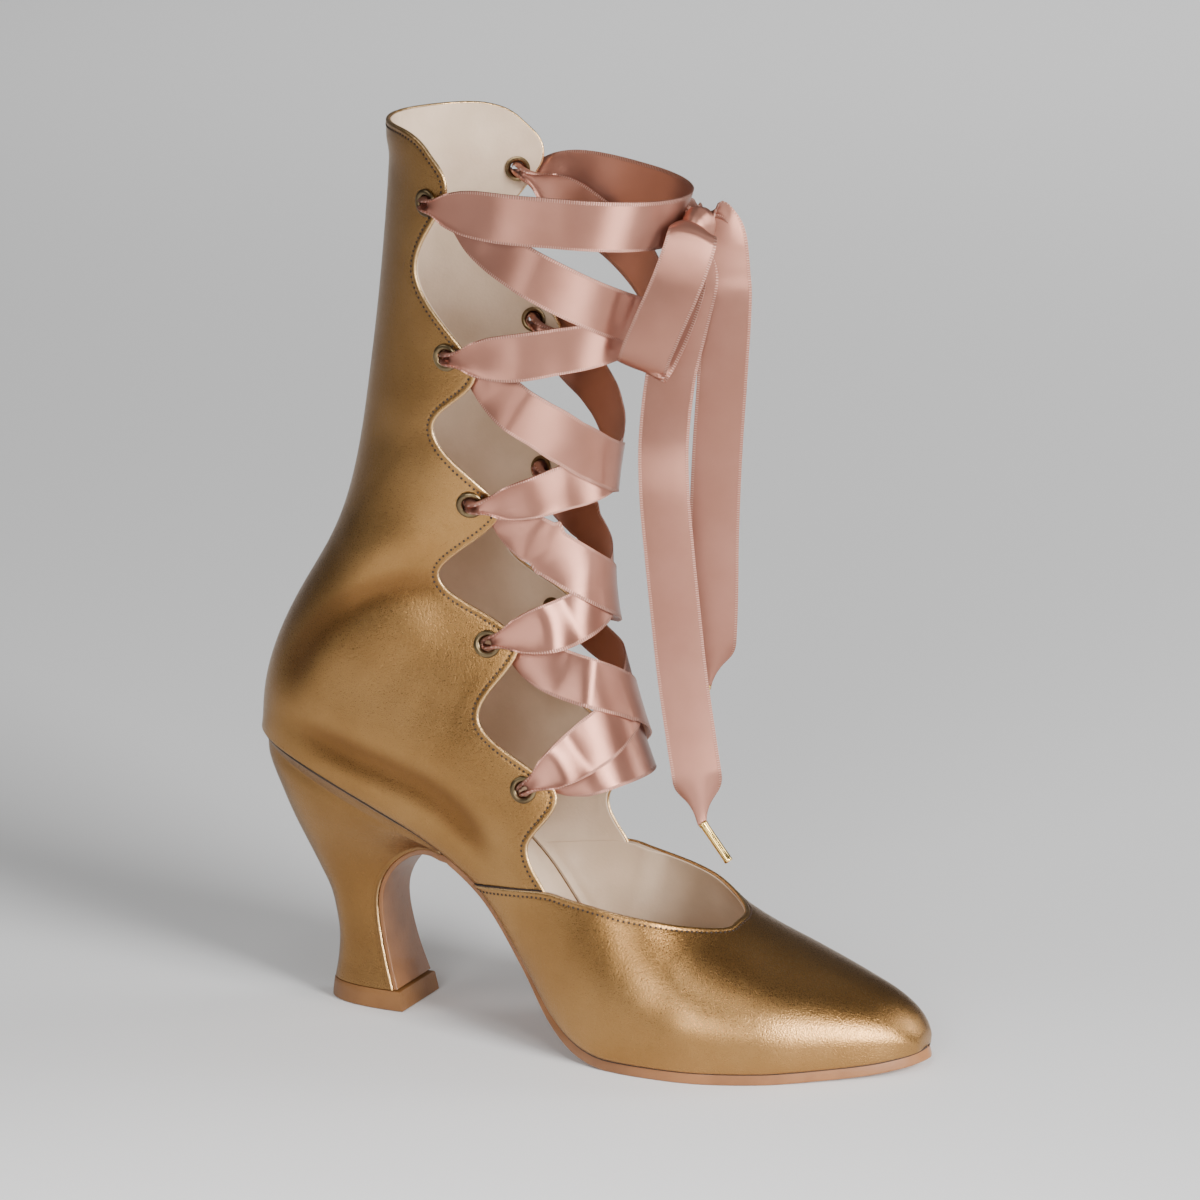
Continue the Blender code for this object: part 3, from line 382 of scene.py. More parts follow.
def ramp(tree, value, low, high, to_low=0.0, to_high=1.0):
    """Smooth change from to_low to to_high while value goes from low to high."""
    inputs = {"Value": value, "From Min": low, "From Max": high, "To Min": to_low, "To Max": to_high}
    return add_node(tree, "ShaderNodeMapRange", inputs, interpolation_type="SMOOTHSTEP").outputs["Result"]


def blend_colours(tree, share, a, b):
    """Colour between a and b by share."""
    return add_node(tree, "ShaderNodeMix", {0: share, 6: a, 7: b}, data_type="RGBA").outputs[2]


def new_group(name, inputs, outputs):
    """Empty shader node group with float inputs {name: value} and a vector, and float outputs."""
    group = bpy.data.node_groups.new(name, "ShaderNodeTree")
    group.interface.new_socket("Vector", in_out="INPUT", socket_type="NodeSocketVector")
    for label, value in inputs.items():
        socket = group.interface.new_socket(label, in_out="INPUT", socket_type="NodeSocketFloat")
        socket.default_value = value
    for label in outputs:
        group.interface.new_socket(label, in_out="OUTPUT", socket_type="NodeSocketFloat")
    return group, group.nodes.new("NodeGroupInput").outputs, group.nodes.new("NodeGroupOutput").inputs


def noise(tree, vector, scale, **inputs):
    """Noise texture of a scale at a place; returns its value."""
    inputs = {"Vector": vector, "Scale": scale, **inputs}
    return add_node(tree, "ShaderNodeTexNoise", inputs).outputs["Fac"]


# %% Grain group
grain_group, given, result = new_group("leather_grain", {"Scale": 1500.0}, ("Height", "Speck"))
cells = add_node(grain_group, "ShaderNodeTexVoronoi", {"Vector": given["Vector"], "Scale": given["Scale"]},
                 feature="SMOOTH_F1").outputs["Distance"]
fine_scale = calc(grain_group, "MULTIPLY", given["Scale"], 1.7)
fine = noise(grain_group, given["Vector"], fine_scale, Detail=2.0)
pebble = calc(grain_group, "MULTIPLY", cells, -0.7)
grain_group.links.new(calc(grain_group, "MULTIPLY_ADD", fine, 0.6, pebble), result["Height"])
grain_group.links.new(ramp(grain_group, fine, 0.35, 0.7), result["Speck"])
print("group", grain_group.name, "with", len(grain_group.nodes), "nodes")

# %% Tone group
tone_group, given, result = new_group("slow_tone", {"Scale": 28.0}, ("Tone", "Scuff"))
slow = noise(tone_group, given["Vector"], given["Scale"], Detail=4.0)
tone_group.links.new(ramp(tone_group, slow, 0.3, 0.72), result["Tone"])
scuff_scale = calc(tone_group, "MULTIPLY", given["Scale"], 11.0)
scuff = noise(tone_group, given["Vector"], scuff_scale, Detail=6.0, Roughness=0.7)
tone_group.links.new(ramp(tone_group, scuff, 0.52, 0.78), result["Scuff"])
print("group", tone_group.name, "with", len(tone_group.nodes), "nodes")


# %% Material helper
def new_material(name, colour, roughness, metallic=0.0, **sockets):
    """Material with a Principled shader; uniform values go straight to its sockets."""
    material = bpy.data.materials.new(name)
    material.use_nodes = True
    tree = material.node_tree
    shader = tree.nodes["Principled BSDF"]
    shader.inputs["Base Color"].default_value = (*colour, 1.0)
    shader.inputs["Roughness"].default_value = roughness
    shader.inputs["Metallic"].default_value = metallic
    for key, value in sockets.items():
        shader.inputs[key.replace("_", " ")].default_value = value
    place = tree.nodes.new("ShaderNodeTexCoord").outputs["Object"]
    return material, tree, shader, place


def use_group(tree, group, vector, **values):
    """Place a group in a material and give it its values; returns its outputs."""
    node = tree.nodes.new("ShaderNodeGroup")
    node.node_tree = group
    tree.links.new(vector, node.inputs["Vector"])
    for key, value in values.items():
        node.inputs[key].default_value = value
    return node.outputs


def attribute(tree, key):
    """Value that each point of a piece carries under that name."""
    return add_node(tree, "ShaderNodeAttribute", attribute_name=key).outputs["Fac"]


def add_bump(tree, shader, height, distance):
    """Bump node of a height in metres per unit."""
    bump = add_node(tree, "ShaderNodeBump", {"Height": height, "Distance": distance})
    tree.links.new(bump.outputs["Normal"], shader.inputs["Normal"])


# %% [markdown]
# ## Gold leather
# The upper and the heel cover are calf with a gold metal foil; on the heel cover its colour is a darker
# copy, painted shade. The foil follows a fine grain, so a highlight breaks up into sparkle, and it looks
# brown where it mirrors something dark. A folded edge gets a painted highlight, the line of stitch holes
# lies in a furrow darkened by painted shade, and a deep crease is darkened by painted shade. Edge
# distance and depth of crease come in as attributes.

# %% Gold leather material
GOLD_LIGHT = (0.43, 0.238, 0.088, 1.0)
GOLD_DEEP = (0.345, 0.18, 0.06, 1.0)
# the heel cover's colours are a darker copy of the upper's gold: painted shade
SHADED_HEEL_LIGHT = (0.345, 0.188, 0.069, 1.0)
SHADED_HEEL_DEEP = (0.28, 0.144, 0.048, 1.0)
# painted shade: dark colour for deep creases
GOLD_CREASE_SHADE = (0.19, 0.085, 0.026, 1.0)
# painted highlight: pale gold on folded edges and on the heel cover's edges
GOLD_EDGE_HIGHLIGHT = (0.86, 0.58, 0.3, 1.0)
# painted shade: dark colour for the stitch furrow
FURROW_SHADE = (0.16, 0.07, 0.022, 1.0)
GRAIN_SCALE, GRAIN_RELIEF, GOLD_TONE_SCALE = 1900.0, 0.00012, 30.0
FOLD_HIGHLIGHT_SPAN, FURROW_SHADE_IN, FURROW_SHADE_OUT = (0.15, 0.75), (1.5, 2.0), (2.3, 2.8)    # mm from the folded edge
CREASE_SHADE_DEPTH = (0.1, 1.5)    # mm below the smooth skin


def gold_leather(name, light, deep):
    """Foiled leather: tone from slow noise, grain bump, a painted highlight on the fold, and painted shade in
    the furrow behind it and in deep creases.
    """
    material, tree, shader, place = new_material(name, light[:3], roughness=0.3, metallic=1.0,
                                                 Coat_Weight=0.06, Coat_Roughness=0.25)
    grain = use_group(tree, grain_group, place, Scale=GRAIN_SCALE)
    tone = use_group(tree, tone_group, place, Scale=GOLD_TONE_SCALE)
    colour = blend_colours(tree, tone["Tone"], deep, light)
    edge = attribute(tree, "edge")
    # painted shade: the colour darkens with the depth of a crease
    crease_shade = ramp(tree, attribute(tree, "crease"), *CREASE_SHADE_DEPTH, 0.0, 0.8)
    colour = blend_colours(tree, crease_shade, colour, GOLD_CREASE_SHADE)
    # painted shade: the colour darkens along the stitch furrow
    furrow = calc(tree, "MULTIPLY", ramp(tree, edge, *FURROW_SHADE_IN), ramp(tree, edge, *FURROW_SHADE_OUT, 1.0, 0.0))
    colour = blend_colours(tree, calc(tree, "MULTIPLY", furrow, 0.15), colour, FURROW_SHADE)
    # painted highlight: the colour turns pale gold close to a folded edge
    colour = blend_colours(tree, ramp(tree, edge, *FOLD_HIGHLIGHT_SPAN, 0.75, 0.0), colour, GOLD_EDGE_HIGHLIGHT)
    tree.links.new(colour, shader.inputs["Base Color"])
    rough = calc(tree, "MULTIPLY_ADD", grain["Speck"], 0.1, 0.26)
    tree.links.new(calc(tree, "MULTIPLY_ADD", tone["Scuff"], 0.05, rough), shader.inputs["Roughness"])
    add_bump(tree, shader, grain["Height"], GRAIN_RELIEF)
    return material


upper_gold = gold_leather("gold_upper", GOLD_LIGHT, GOLD_DEEP)
shaded_heel_gold = gold_leather("gold_heel_shaded", SHADED_HEEL_LIGHT, SHADED_HEEL_DEEP)
print("materials", upper_gold.name, shaded_heel_gold.name)

# %% [markdown]
# ## Satin ribbon
# The lacing is a double-faced satin ribbon, 16 mm wide. Satin's long floating threads mirror light almost
# like metal in a streak across the ribbon, and both edges carry a woven selvedge with tiny picots. Each
# ribbon point knows how far across (-1 to 1) and along (in millimetres) the ribbon it lies. The same two
# numbers are its UV map, which gives the shader the direction of the streak.

# %% Satin group and material
RIBBON_UV = "ribbon"
ROSE = (0.46, 0.212, 0.155, 1.0)
ROSE_DEEP = (0.4, 0.176, 0.125, 1.0)
ROSE_EDGE = (0.72, 0.45, 0.37, 1.0)
PICOT_PITCH, WEFT_PITCH, WARP_RIBS = 0.75, 0.3, 26.0
SATIN_ROUGH, SATIN_RELIEF, SATIN_TONE_SCALE = 0.37, 0.00004, 45.0


def wave(tree, value, rate):
    """Sine with so many full waves per unit of the value."""
    return calc(tree, "SINE", calc(tree, "MULTIPLY", value, 2 * math.pi * rate))


def satin_group():
    """Group that gives thread ribs, and the selvedge with its picots, from Across and Along."""
    outputs = ("Height", "Selvedge", "Picot")
    group, given, result = new_group("satin_weave", {"Across": 0.0, "Along": 0.0}, outputs)
    distance = calc(group, "ABSOLUTE", given["Across"])
    rim = ramp(group, distance, 0.985, 1.0, 1.0, 0.6)
    selvedge = calc(group, "MULTIPLY", ramp(group, distance, 0.86, 0.9), rim)
    picot = wave(group, given["Along"], 1 / PICOT_PITCH)
    weft = wave(group, given["Along"], 1 / WEFT_PITCH)
    warp = wave(group, given["Across"], WARP_RIBS)
    ribs = calc(group, "MULTIPLY_ADD", weft, 0.05, calc(group, "MULTIPLY", warp, 0.1))
    raised_edge = calc(group, "MULTIPLY", selvedge, calc(group, "MULTIPLY_ADD", picot, 0.6, 1.2))
    group.links.new(calc(group, "ADD", ribs, raised_edge), result["Height"])
    group.links.new(selvedge, result["Selvedge"])
    group.links.new(calc(group, "MULTIPLY", selvedge, ramp(group, picot, 0.2, 0.9)), result["Picot"])
    return group


def satin_ribbon(name, weave_group):
    """Satin: tone from slow noise, pale picots on a deeper selvedge, and a streak that follows the UV map."""
    material, tree, shader, place = new_material(name, ROSE[:3], SATIN_ROUGH, 0.78, Anisotropic=1.0)
    thread_way = add_node(tree, "ShaderNodeTangent", direction_type="UV_MAP", uv_map=RIBBON_UV)
    tree.links.new(thread_way.outputs["Tangent"], shader.inputs["Tangent"])
    weave = use_group(tree, weave_group, place)
    for label in ("Across", "Along"):
        tree.links.new(attribute(tree, label.lower()), weave["Height"].node.inputs[label])
    tone = use_group(tree, tone_group, place, Scale=SATIN_TONE_SCALE)
    colour = blend_colours(tree, tone["Tone"], ROSE_DEEP, ROSE)
    colour = blend_colours(tree, calc(tree, "MULTIPLY", weave["Selvedge"], 0.45), colour, ROSE_DEEP)
    colour = blend_colours(tree, calc(tree, "MULTIPLY", weave["Picot"], 0.8), colour, ROSE_EDGE)
    tree.links.new(colour, shader.inputs["Base Color"])
    rough = calc(tree, "MULTIPLY_ADD", weave["Selvedge"], 0.15, SATIN_ROUGH)
    tree.links.new(rough, shader.inputs["Roughness"])
    add_bump(tree, shader, weave["Height"], SATIN_RELIEF)
    return material


satin = satin_ribbon("rose_satin", satin_group())
print("material", satin.name)

# %% [markdown]
# ## Plain finishes
# Sole edge and breast are burnished tan leather, the heel's lift is a caramel rubber, sock and lining are
# pale glove leather, the eyelets are antiqued brass, the ribbon tips are polished gold, and the thread is
# dark brown. Each one has its own grain or wear through the shared groups.


# %% Plain materials
def plain_finish(name, light, deep, roughness, metallic=0.0, grain=1500.0, bump=0.00005, spread=0.15,
                 **sockets):
    """Finish whose colour wanders between two tones, with scuffed roughness and a fine bump."""
    material, tree, shader, place = new_material(name, light, roughness, metallic, **sockets)
    tone = use_group(tree, tone_group, place, Scale=60.0)
    fine = use_group(tree, grain_group, place, Scale=grain)
    colour = blend_colours(tree, tone["Tone"], (*deep, 1.0), (*light, 1.0))
    colour = blend_colours(tree, calc(tree, "MULTIPLY", tone["Scuff"], 0.35), colour, (*deep, 1.0))
    tree.links.new(colour, shader.inputs["Base Color"])
    rough = calc(tree, "MULTIPLY_ADD", tone["Scuff"], spread, roughness)
    tree.links.new(rough, shader.inputs["Roughness"])
    add_bump(tree, shader, fine["Height"], bump)
    return material


sole_tan = plain_finish("sole_tan", (0.3, 0.125, 0.043), (0.21, 0.084, 0.027), 0.4, Coat_Weight=0.2)
lift_rubber = plain_finish("lift_rubber", (0.25, 0.112, 0.034), (0.185, 0.077, 0.022), 0.42)
pale_lining = plain_finish("pale_lining", (0.66, 0.5, 0.36), (0.56, 0.41, 0.28), 0.6, grain=1100.0)
antique_brass = plain_finish("antique_brass", (0.26, 0.19, 0.1), (0.09, 0.06, 0.034), 0.28, 1.0,
                             bump=0.00002)
tip_gold = plain_finish("tip_gold", (0.95, 0.7, 0.28), (0.82, 0.56, 0.18), 0.16, 1.0, bump=0.00001,
                        spread=0.1)
stitch_thread = plain_finish("stitch_thread", (0.035, 0.017, 0.008), (0.018, 0.008, 0.004), 0.6,
                             grain=4000.0)
print("materials", [material.name for material in bpy.data.materials])

# %% [markdown]
# ## Ribbon bow
# The bow hangs from the knot in front of the shin: two loops, and two long ends with metal tips. Ribbon is
# a flat cord of fixed width, so each one is a strip along a given route, the same route as its solid.
# Where it is gathered, at the knot and in a tip, the strip curls into a gutter: its cross section is an arc
# whose angle grows towards the gathered end. A cloth simulation would lose the exact width and the picots.

# %% Bow routes
RIBBON_WIDTH, RIBBON_THICK = 16.0, 0.5
OUTER_LOOP = np.array([
    (113.0, -1.0, 266.5), (114.4, -4.6, 269.4), (116.4, -9.2, 268.4), (116.6, -12.0, 263.4),
    (113.4, -15.4, 251.4), (107.8, -16.8, 237.8), (103.2, -16.4, 227.4), (100.8, -13.4, 222.4),
    (102.4, -9.6, 225.6), (107.0, -6.6, 237.6), (110.8, -5.8, 250.0), (112.4, -5.0, 261.4),
    (113.0, -1.0, 266.0),
])
INNER_LOOP = np.array([
    (112.6, 1.5, 266.5), (112.4, 5.4, 269.2), (112.5, 9.6, 269.2), (112.4, 13.6, 266.4),
    (108.4, 20.4, 256.0), (103.0, 24.8, 243.0), (98.6, 26.0, 231.0), (96.4, 23.6, 225.0),
    (97.6, 20.0, 228.4), (101.2, 17.2, 240.0), (105.6, 13.4, 251.0), (111.0, 6.0, 261.4),
    (112.6, 1.5, 265.5),
])
OUTER_TAIL = np.array([
    (114.8, -2.2, 265.0), (114.4, -1.4, 259.6), (112.6, 0.6, 250.0), (108.6, 0.6, 234.0),
    (105.2, -0.6, 218.0), (103.6, -2.2, 198.0), (104.6, -3.8, 180.0), (106.4, -4.0, 162.0),
    (108.5, -4.0, 143.0), (111.0, -4.0, 122.0), (114.2, -4.2, 102.0), (117.0, -5.0, 87.0),
    (118.6, -5.8, 76.0), (119.6, -5.9, 74.2),
])
INNER_TAIL = np.array([
    (114.4, 2.0, 266.8), (115.1, 5.1, 270.8), (116.6, 8.0, 269.2), (118.2, 9.6, 261.5),
    (119.4, 9.6, 250.9), (120.0, 9.4, 241.0), (118.7, 9.2, 216.0), (117.2, 9.2, 193.0),
    (116.2, 9.2, 167.0), (116.0, 9.2, 145.0), (115.4, 9.0, 128.0), (114.2, 8.6, 117.0),
    (114.0, 8.5, 115.0),
])
OUTER_AGLET = np.array([(119.0, -5.9, 74.9), (128.5, -6.3, 63.1)])
INNER_AGLET = np.array([(114.1, 8.6, 116.5), (112.5, 8.3, 101.3)])
FACE_RIGHT, OUTER_RIGHT, INNER_RIGHT = (0.91, 0.41, 0.0), (0.84, 0.29, -0.31), (0.84, -0.29, -0.31)
ACROSS = np.linspace(-1.0, 1.0, 25)
for route in (OUTER_LOOP, INNER_LOOP, OUTER_TAIL, INNER_TAIL):
    print("bow route of", len(route), "points from", route[0].tolist())


# %% Ribbon section
HANG_CURL, GATHER_SQUASH = 0.35, 0.55


def gutter(curl, arc, flat):
    """Side and lift of points across a ribbon that curls into a gutter.

    The section is a circular arc of the angle curl and the length arc; flat squashes its height, so that a
    gathered ribbon lies in folds. Without curl it is a straight line.
    """
    curl = np.maximum(curl, 1e-3)[:, None]
    turn = ACROSS * curl / 2
    radius = arc[:, None] / curl
    return radius * np.sin(turn), flat[:, None] * radius * (1 - np.cos(turn))


def ribbon_map(piece):
    """UV map of a satin piece: u is the attribute across, v the attribute along, in ribbon widths."""
    mesh = piece.data
    corner = np.empty(len(mesh.loops), np.int32)
    mesh.loops.foreach_get("vertex_index", corner)
    place = np.empty((len(corner), 2), np.float32)
    for k, (key, span) in enumerate((("across", 2.0), ("along", RIBBON_WIDTH))):
        values = np.empty(len(mesh.vertices), np.float32)
        mesh.attributes[key].data.foreach_get("value", values)
        place[:, k] = values[corner] / span
    mesh.uv_layers.new(name=RIBBON_UV).data.foreach_set("uv", place.ravel())
    return piece


def ribbon_piece(name, middle, lift_way, length):
    """Closed thin strip about a grid of middle points (n, across, 3): front and back, joined at the edges."""
    normal = grid_normals(middle)
    normal = normal * np.sign(np.sum(normal * lift_way, axis=-1, keepdims=True).mean())
    front = middle + RIBBON_THICK / 2 * normal
    back_face = middle - RIBBON_THICK / 2 * normal
    ring = np.concatenate([front, back_face[:, ::-1]], axis=1)
    across = np.broadcast_to(np.concatenate([ACROSS, ACROSS[::-1]]), ring.shape[:2])
    along = np.broadcast_to(length[:, None], ring.shape[:2])
    values = {"across": [across], "along": [along]}
    return ribbon_map(piece_from(name, [ring], satin, closed=True, caps=True, values=values))


def free_ribbon(name, route, right, count, start, end):
    """Ribbon along a route. start and end are (curl, arc, length) of the gathering at either end.

    right is the direction across the ribbon. Where it hangs free its edges rise by a slight curl.
    """
    points = evenly(smooth_line(route, 600), count)
    length = arc_length(points)
    along = unit(np.gradient(points, axis=0))
    across = unit(np.array(right) - along * (along @ np.array(right))[:, None])
    up = np.cross(across, along)
    from_start = 1 - soft_step(length / start[2])
    from_end = 1 - soft_step((length[-1] - length) / end[2])
    curl = HANG_CURL + (start[0] - HANG_CURL) * from_start + (end[0] - HANG_CURL) * from_end
    arc = RIBBON_WIDTH + (start[1] - RIBBON_WIDTH) * from_start**2 + (end[1] - RIBBON_WIDTH) * from_end**2
    aside, lift = gutter(curl, arc, 1.0 - GATHER_SQUASH * np.maximum(from_start, from_end))
    mid = len(ACROSS) // 2
    centred = lift - lift[:, mid:mid + 1]
    middle = points[:, None] + aside[..., None] * across[:, None] + centred[..., None] * up[:, None]
    return ribbon_piece(name, middle, up[:, None], length), points, length[-1]


# %% Ribbon tips
TIP_SIDES, TIP_CRIMP = 24, 0.1


def full_turn(count):
    """Angles of count points round a circle."""
    return np.linspace(0.0, 2 * math.pi, count, endpoint=False)


def turned(profile, start, end, sides, dent=0.0):
    """Surface of revolution about the line from start to end: profile rows are (along in mm, radius).

    dent narrows it by that share on two sides, as a crimping tool leaves a metal tip.
    """
    start = np.asarray(start, float)
    axis = unit(np.asarray(end, float) - start)
    side = unit(np.cross(axis, (0.0, 1.0, 0.2)))
    other = np.cross(axis, side)
    angle = full_turn(sides)
    squash = 1.0 - dent * np.cos(angle) ** 4
    round_about = (np.cos(angle) * squash)[:, None] * side + np.sin(angle)[:, None] * other
    profile = np.asarray(profile, float)
    return start + profile[:, :1, None] * axis + profile[:, 1:, None] * round_about


def ribbon_tip(name, ends, node):
    """Metal tip: a thin tube with rolled ends and a crimp in its middle."""
    size = float(np.linalg.norm(ends[1] - ends[0]))
    profile = [(0.3, 0.9), (0.0, 1.3), (0.1, 1.5), (0.5, 1.6), (0.9, 1.5), (1.4, 1.42), (0.35 * size, 1.38),
               (0.5 * size, 1.42), (0.75 * size, 1.4), (size - 1.2, 1.42), (size - 0.7, 1.52),
               (size - 0.25, 1.45), (size, 1.1), (size, 0.5)]
    tube = turned(profile, *ends, TIP_SIDES, TIP_CRIMP)
    tip = piece_from(name, [tube], tip_gold, closed=True, caps=True)
    return on_boot(tip, "gold_metal", node)


# %% Loops and ends as cords
LOOP_START, KNOT_END, TIP_END = (3.4, 11.0, 16.0), (4.2, 9.5, 20.0), (5.6, 7.4, 17.0)
BOW = (    # piece, solid, route, direction across, rows, ends of its metal tip
    ("satin_loop_outer", "bow_loop_outer", OUTER_LOOP, OUTER_RIGHT, 150, None),
    ("satin_loop_inner", "bow_loop_inner", INNER_LOOP, INNER_RIGHT, 150, None),
    ("satin_end_outer", "ribbon_tail_outer", OUTER_TAIL, FACE_RIGHT, 200, OUTER_AGLET),
    ("satin_end_inner", "ribbon_tail_inner", INNER_TAIL, FACE_RIGHT, 180, INNER_AGLET),
)
for label, node, route, right, count, tip_ends in BOW:
    is_loop = tip_ends is None
    gathers = (LOOP_START, KNOT_END) if is_loop else (KNOT_END, TIP_END)
    ribbon, path, ribbon_length = free_ribbon(label, route, right, count, *gathers)
    on_boot(ribbon, "rose_ribbon", node)
    if not is_loop:
        tip_name = label.replace("satin_end", "gold_tip")
        ribbon_tip(tip_name, tip_ends, node.replace("ribbon_tail", "aglet"))
    print(label, round(ribbon_length, 1), "mm long")

# %% [markdown]
# ## The knot
# The knot is the ribbon wrapped once round itself. It shows as a small pleated band. The surface is a
# flattened ball whose radius ripples across the band, which gives the pleats, and whose ends close at poles.

# %% Knot
KNOT_CENTRE, KNOT_RADII = (114.2, 0.0, 267.0), (4.8, 7.4, 6.4)
PLEATS, PLEAT_DEPTH, PLEAT_TWIST, KNOT_ROUND = 7.0, 0.055, 0.9, 2.6


def knot_surface(rows=60, columns=72):
    """Ball about a level axis, whose pleats ripple its radius along the axis.

    Comes with each point's place across the ribbon, and along it.
    """
    v = np.linspace(-1.0, 1.0, rows)[:, None]
    turn = full_turn(columns)
    round_off = np.sqrt(np.maximum(1 - np.abs(v) ** KNOT_ROUND, 0.0))
    pleat = 1 + PLEAT_DEPTH * np.cos(PLEATS * v + PLEAT_TWIST * np.sin(turn)) * (1 - v**2)
    x = KNOT_CENTRE[0] + KNOT_RADII[0] * round_off * pleat * np.cos(turn)
    z = KNOT_CENTRE[2] + KNOT_RADII[2] * round_off * pleat * np.sin(turn)
    y = KNOT_CENTRE[1] + KNOT_RADII[1] * v + 0 * turn
    return np.stack([x, y, z], axis=-1), 0.8 * v + 0 * turn, turn * KNOT_RADII[2] + 0 * v


grid, across, along = knot_surface()
values = {"across": [across], "along": [along]}
knot = ribbon_map(piece_from("satin_knot", [grid], satin, closed=True, values=values))
on_boot(knot, "rose_ribbon", "bow_knot")

# %% [markdown]
# ## Edges of the leather
# Seen from the side, the facings run in five lobes with an eyelet each, up to the collar. The outline is the
# same table as in the solids, from the vamp's seam to the back. For an edge with a fold and a stitch line,
# the leather needs lines that keep an even distance from the edge, so the edge is pushed inwards over the
# skin step by step.

# %% Outlines
EDGE = np.array([
    (77.0, 54.8), (70.3, 68.0), (79.0, 86.8), (52.2, 107.4), (63.2, 133.0), (36.4, 152.0), (56.7, 175.2),
    (36.8, 201.0), (52.5, 221.5), (30.8, 251.0), (44.2, 278.0), (37.6, 290.4), (27.0, 296.2), (9.2, 297.0),
])
SEAM_FOOT = (47.0, 51.6)
EYELETS = np.array([(68.5, 87.0), (53.3, 132.0), (48.2, 177.4), (42.5, 225.6), (36.2, 274.6)])
BORDER = np.array([
    5.0, 4.2, 3.5, 3.0, 2.7, 2.45, 2.2, 1.95, 1.7, 1.4, 1.1, 0.85, 0.62, 0.45, 0.3, 0.18, 0.08, 0.0,
])
FOLD_RADIUS = 0.5
FOLD_BEAD, STITCH_FURROW = (0.14, 1.0, 0.55), (0.07, 2.1, 0.45)    # height, distance from the edge, width


def skin_steps(s, g, move):
    """Changes of s and g that move places over the skin by small vectors: the slopes' inverse times move."""
    inverse = np.linalg.pinv(np.stack(slopes(s, g), axis=2))
    return np.einsum("nij,nj->ni", inverse, move)


def slide(place, move):
    """Places (s, g) moved over the skin by small vectors, and kept on the last."""
    moved = place + skin_steps(*place.T, move)
    return np.stack([np.clip(moved[:, 0], 0.0, LAST_TOP), np.clip(moved[:, 1], -1.0, 1.0)], axis=1)


def inset_lines(edge, towards, distances, shrink):
    """Lines at distances from an edge over the skin, as places (n, m, 2).

    Each step goes along the skin at right angles to the edge, on the side where towards lies. shrink
    shortens the steps of each row, where there is little room.
    """
    points = skin(*edge.T)
    inward = unit(np.cross(skin_normal(*edge.T), np.gradient(points, axis=0)))
    inward *= np.sign(np.sum(inward * (skin(*towards.T) - points), axis=1).mean())
    place = edge
    lines = []
    done = 0.0
    for distance in np.sort(distances):
        normal = skin_normal(*place.T)
        level = unit(inward - normal * np.sum(inward * normal, axis=1, keepdims=True))
        place = slide(place, level * ((distance - done) * shrink)[:, None])
        done = distance
        lines.append(place)
    return np.stack(lines, axis=1)[:, np.argsort(np.argsort(distances))]


def bell(at, height, middle, width):
    """Bell curve: height * exp(-((at - middle) / width)^2)."""
    return height * np.exp(-((at - middle) / width) ** 2)


def fold_height(distance):
    """Height of the folded edge at a distance from it: a round fold, a low bead, and the stitch furrow."""
    quarter = np.sqrt(np.maximum(FOLD_RADIUS**2 - (FOLD_RADIUS - distance) ** 2, 0.0)) - FOLD_RADIUS
    fold = np.where(distance < FOLD_RADIUS, quarter, 0.0)
    bead = bell(distance, *FOLD_BEAD) * soft_step(distance / FOLD_RADIUS)
    return fold + bead - bell(distance, *STITCH_FURROW)


print("folded edge", np.round(fold_height(np.array([0.0, 0.5, 1.0, 2.1])), 2).tolist(), "mm high")

# %% [markdown]
# ## Creases
# Worn leather keeps soft creases where the ankle bends and where the lacing pulls. Each one is given as a
# route in the side view. Its cross section is a bell curve, a trough or a ridge, and it fades out
# towards its two ends, so it adds relief to the skin without a hard border.

# %% Creases
CREASES = (    # route of (x, z), width, height, side (-1 outer, 1 inner, 0 both)
    (((44.0, 151.0), (24.0, 148.5), (2.0, 138.0), (-14.0, 121.0), (-19.0, 104.0)), 6.5, -1.5, 0),
    (((36.0, 163.0), (18.0, 162.0), (-2.0, 155.0)), 7.0, 0.6, 0),
    (((38.0, 136.0), (20.0, 130.0), (4.0, 114.0)), 9.0, 0.7, 0),
    (((40.0, 200.0), (24.0, 196.0), (8.0, 197.0)), 7.5, -0.4, 0),
    (((54.0, 107.0), (40.0, 110.0), (26.0, 113.0)), 6.5, -0.5, 0),
    (((-20.0, 99.5), (4.0, 91.0), (31.0, 83.0), (46.0, 73.5), (60.0, 58.0)), 6.0, -1.7, -1),
    (((6.0, 150.0), (3.0, 130.0), (0.0, 108.0)), 9.0, -0.8, 1),
    (((126.0, 30.0), (117.0, 21.0), (110.0, 12.0)), 9.0, -0.35, 0),
)
CREASE_PIECES, CREASE_FADE, CREASE_ENDS = 16, 0.3, (0.2, 0.1)


def crease_relief(points, side):
    """Sum of the creases at points: height * bell(distance / width) * fade along the route.

    A route is a curve cut into short straight pieces, and the nearest piece gives distance and share.
    """
    x, z = points[..., 0, None], points[..., 2, None]
    total = np.zeros(points.shape[:-1])
    for route, width, height, where in CREASES:
        if where * side < 0:
            continue
        line = smooth_line(route, CREASE_PIECES + 1)
        run = np.diff(line, axis=0)
        dx, dz = x - line[:-1, 0], z - line[:-1, 1]
        share = np.clip((dx * run[:, 0] + dz * run[:, 1]) / (run**2).sum(axis=1), 0.0, 1.0)
        square = (dx - share * run[:, 0]) ** 2 + (dz - share * run[:, 1]) ** 2
        nearest = square.argmin(axis=-1)[..., None]
        along = (nearest + np.take_along_axis(share, nearest, axis=-1))[..., 0] / CREASE_PIECES
        fade = soft_step(along / CREASE_FADE + CREASE_ENDS[0])
        fade *= soft_step((1 - along) / CREASE_FADE + CREASE_ENDS[1])
        total += bell(np.sqrt(square.min(axis=-1)), height, 0.0, width) * fade
    return total


print(len(CREASES), "creases, the deepest", min(height for _, _, height, _ in CREASES), "mm")

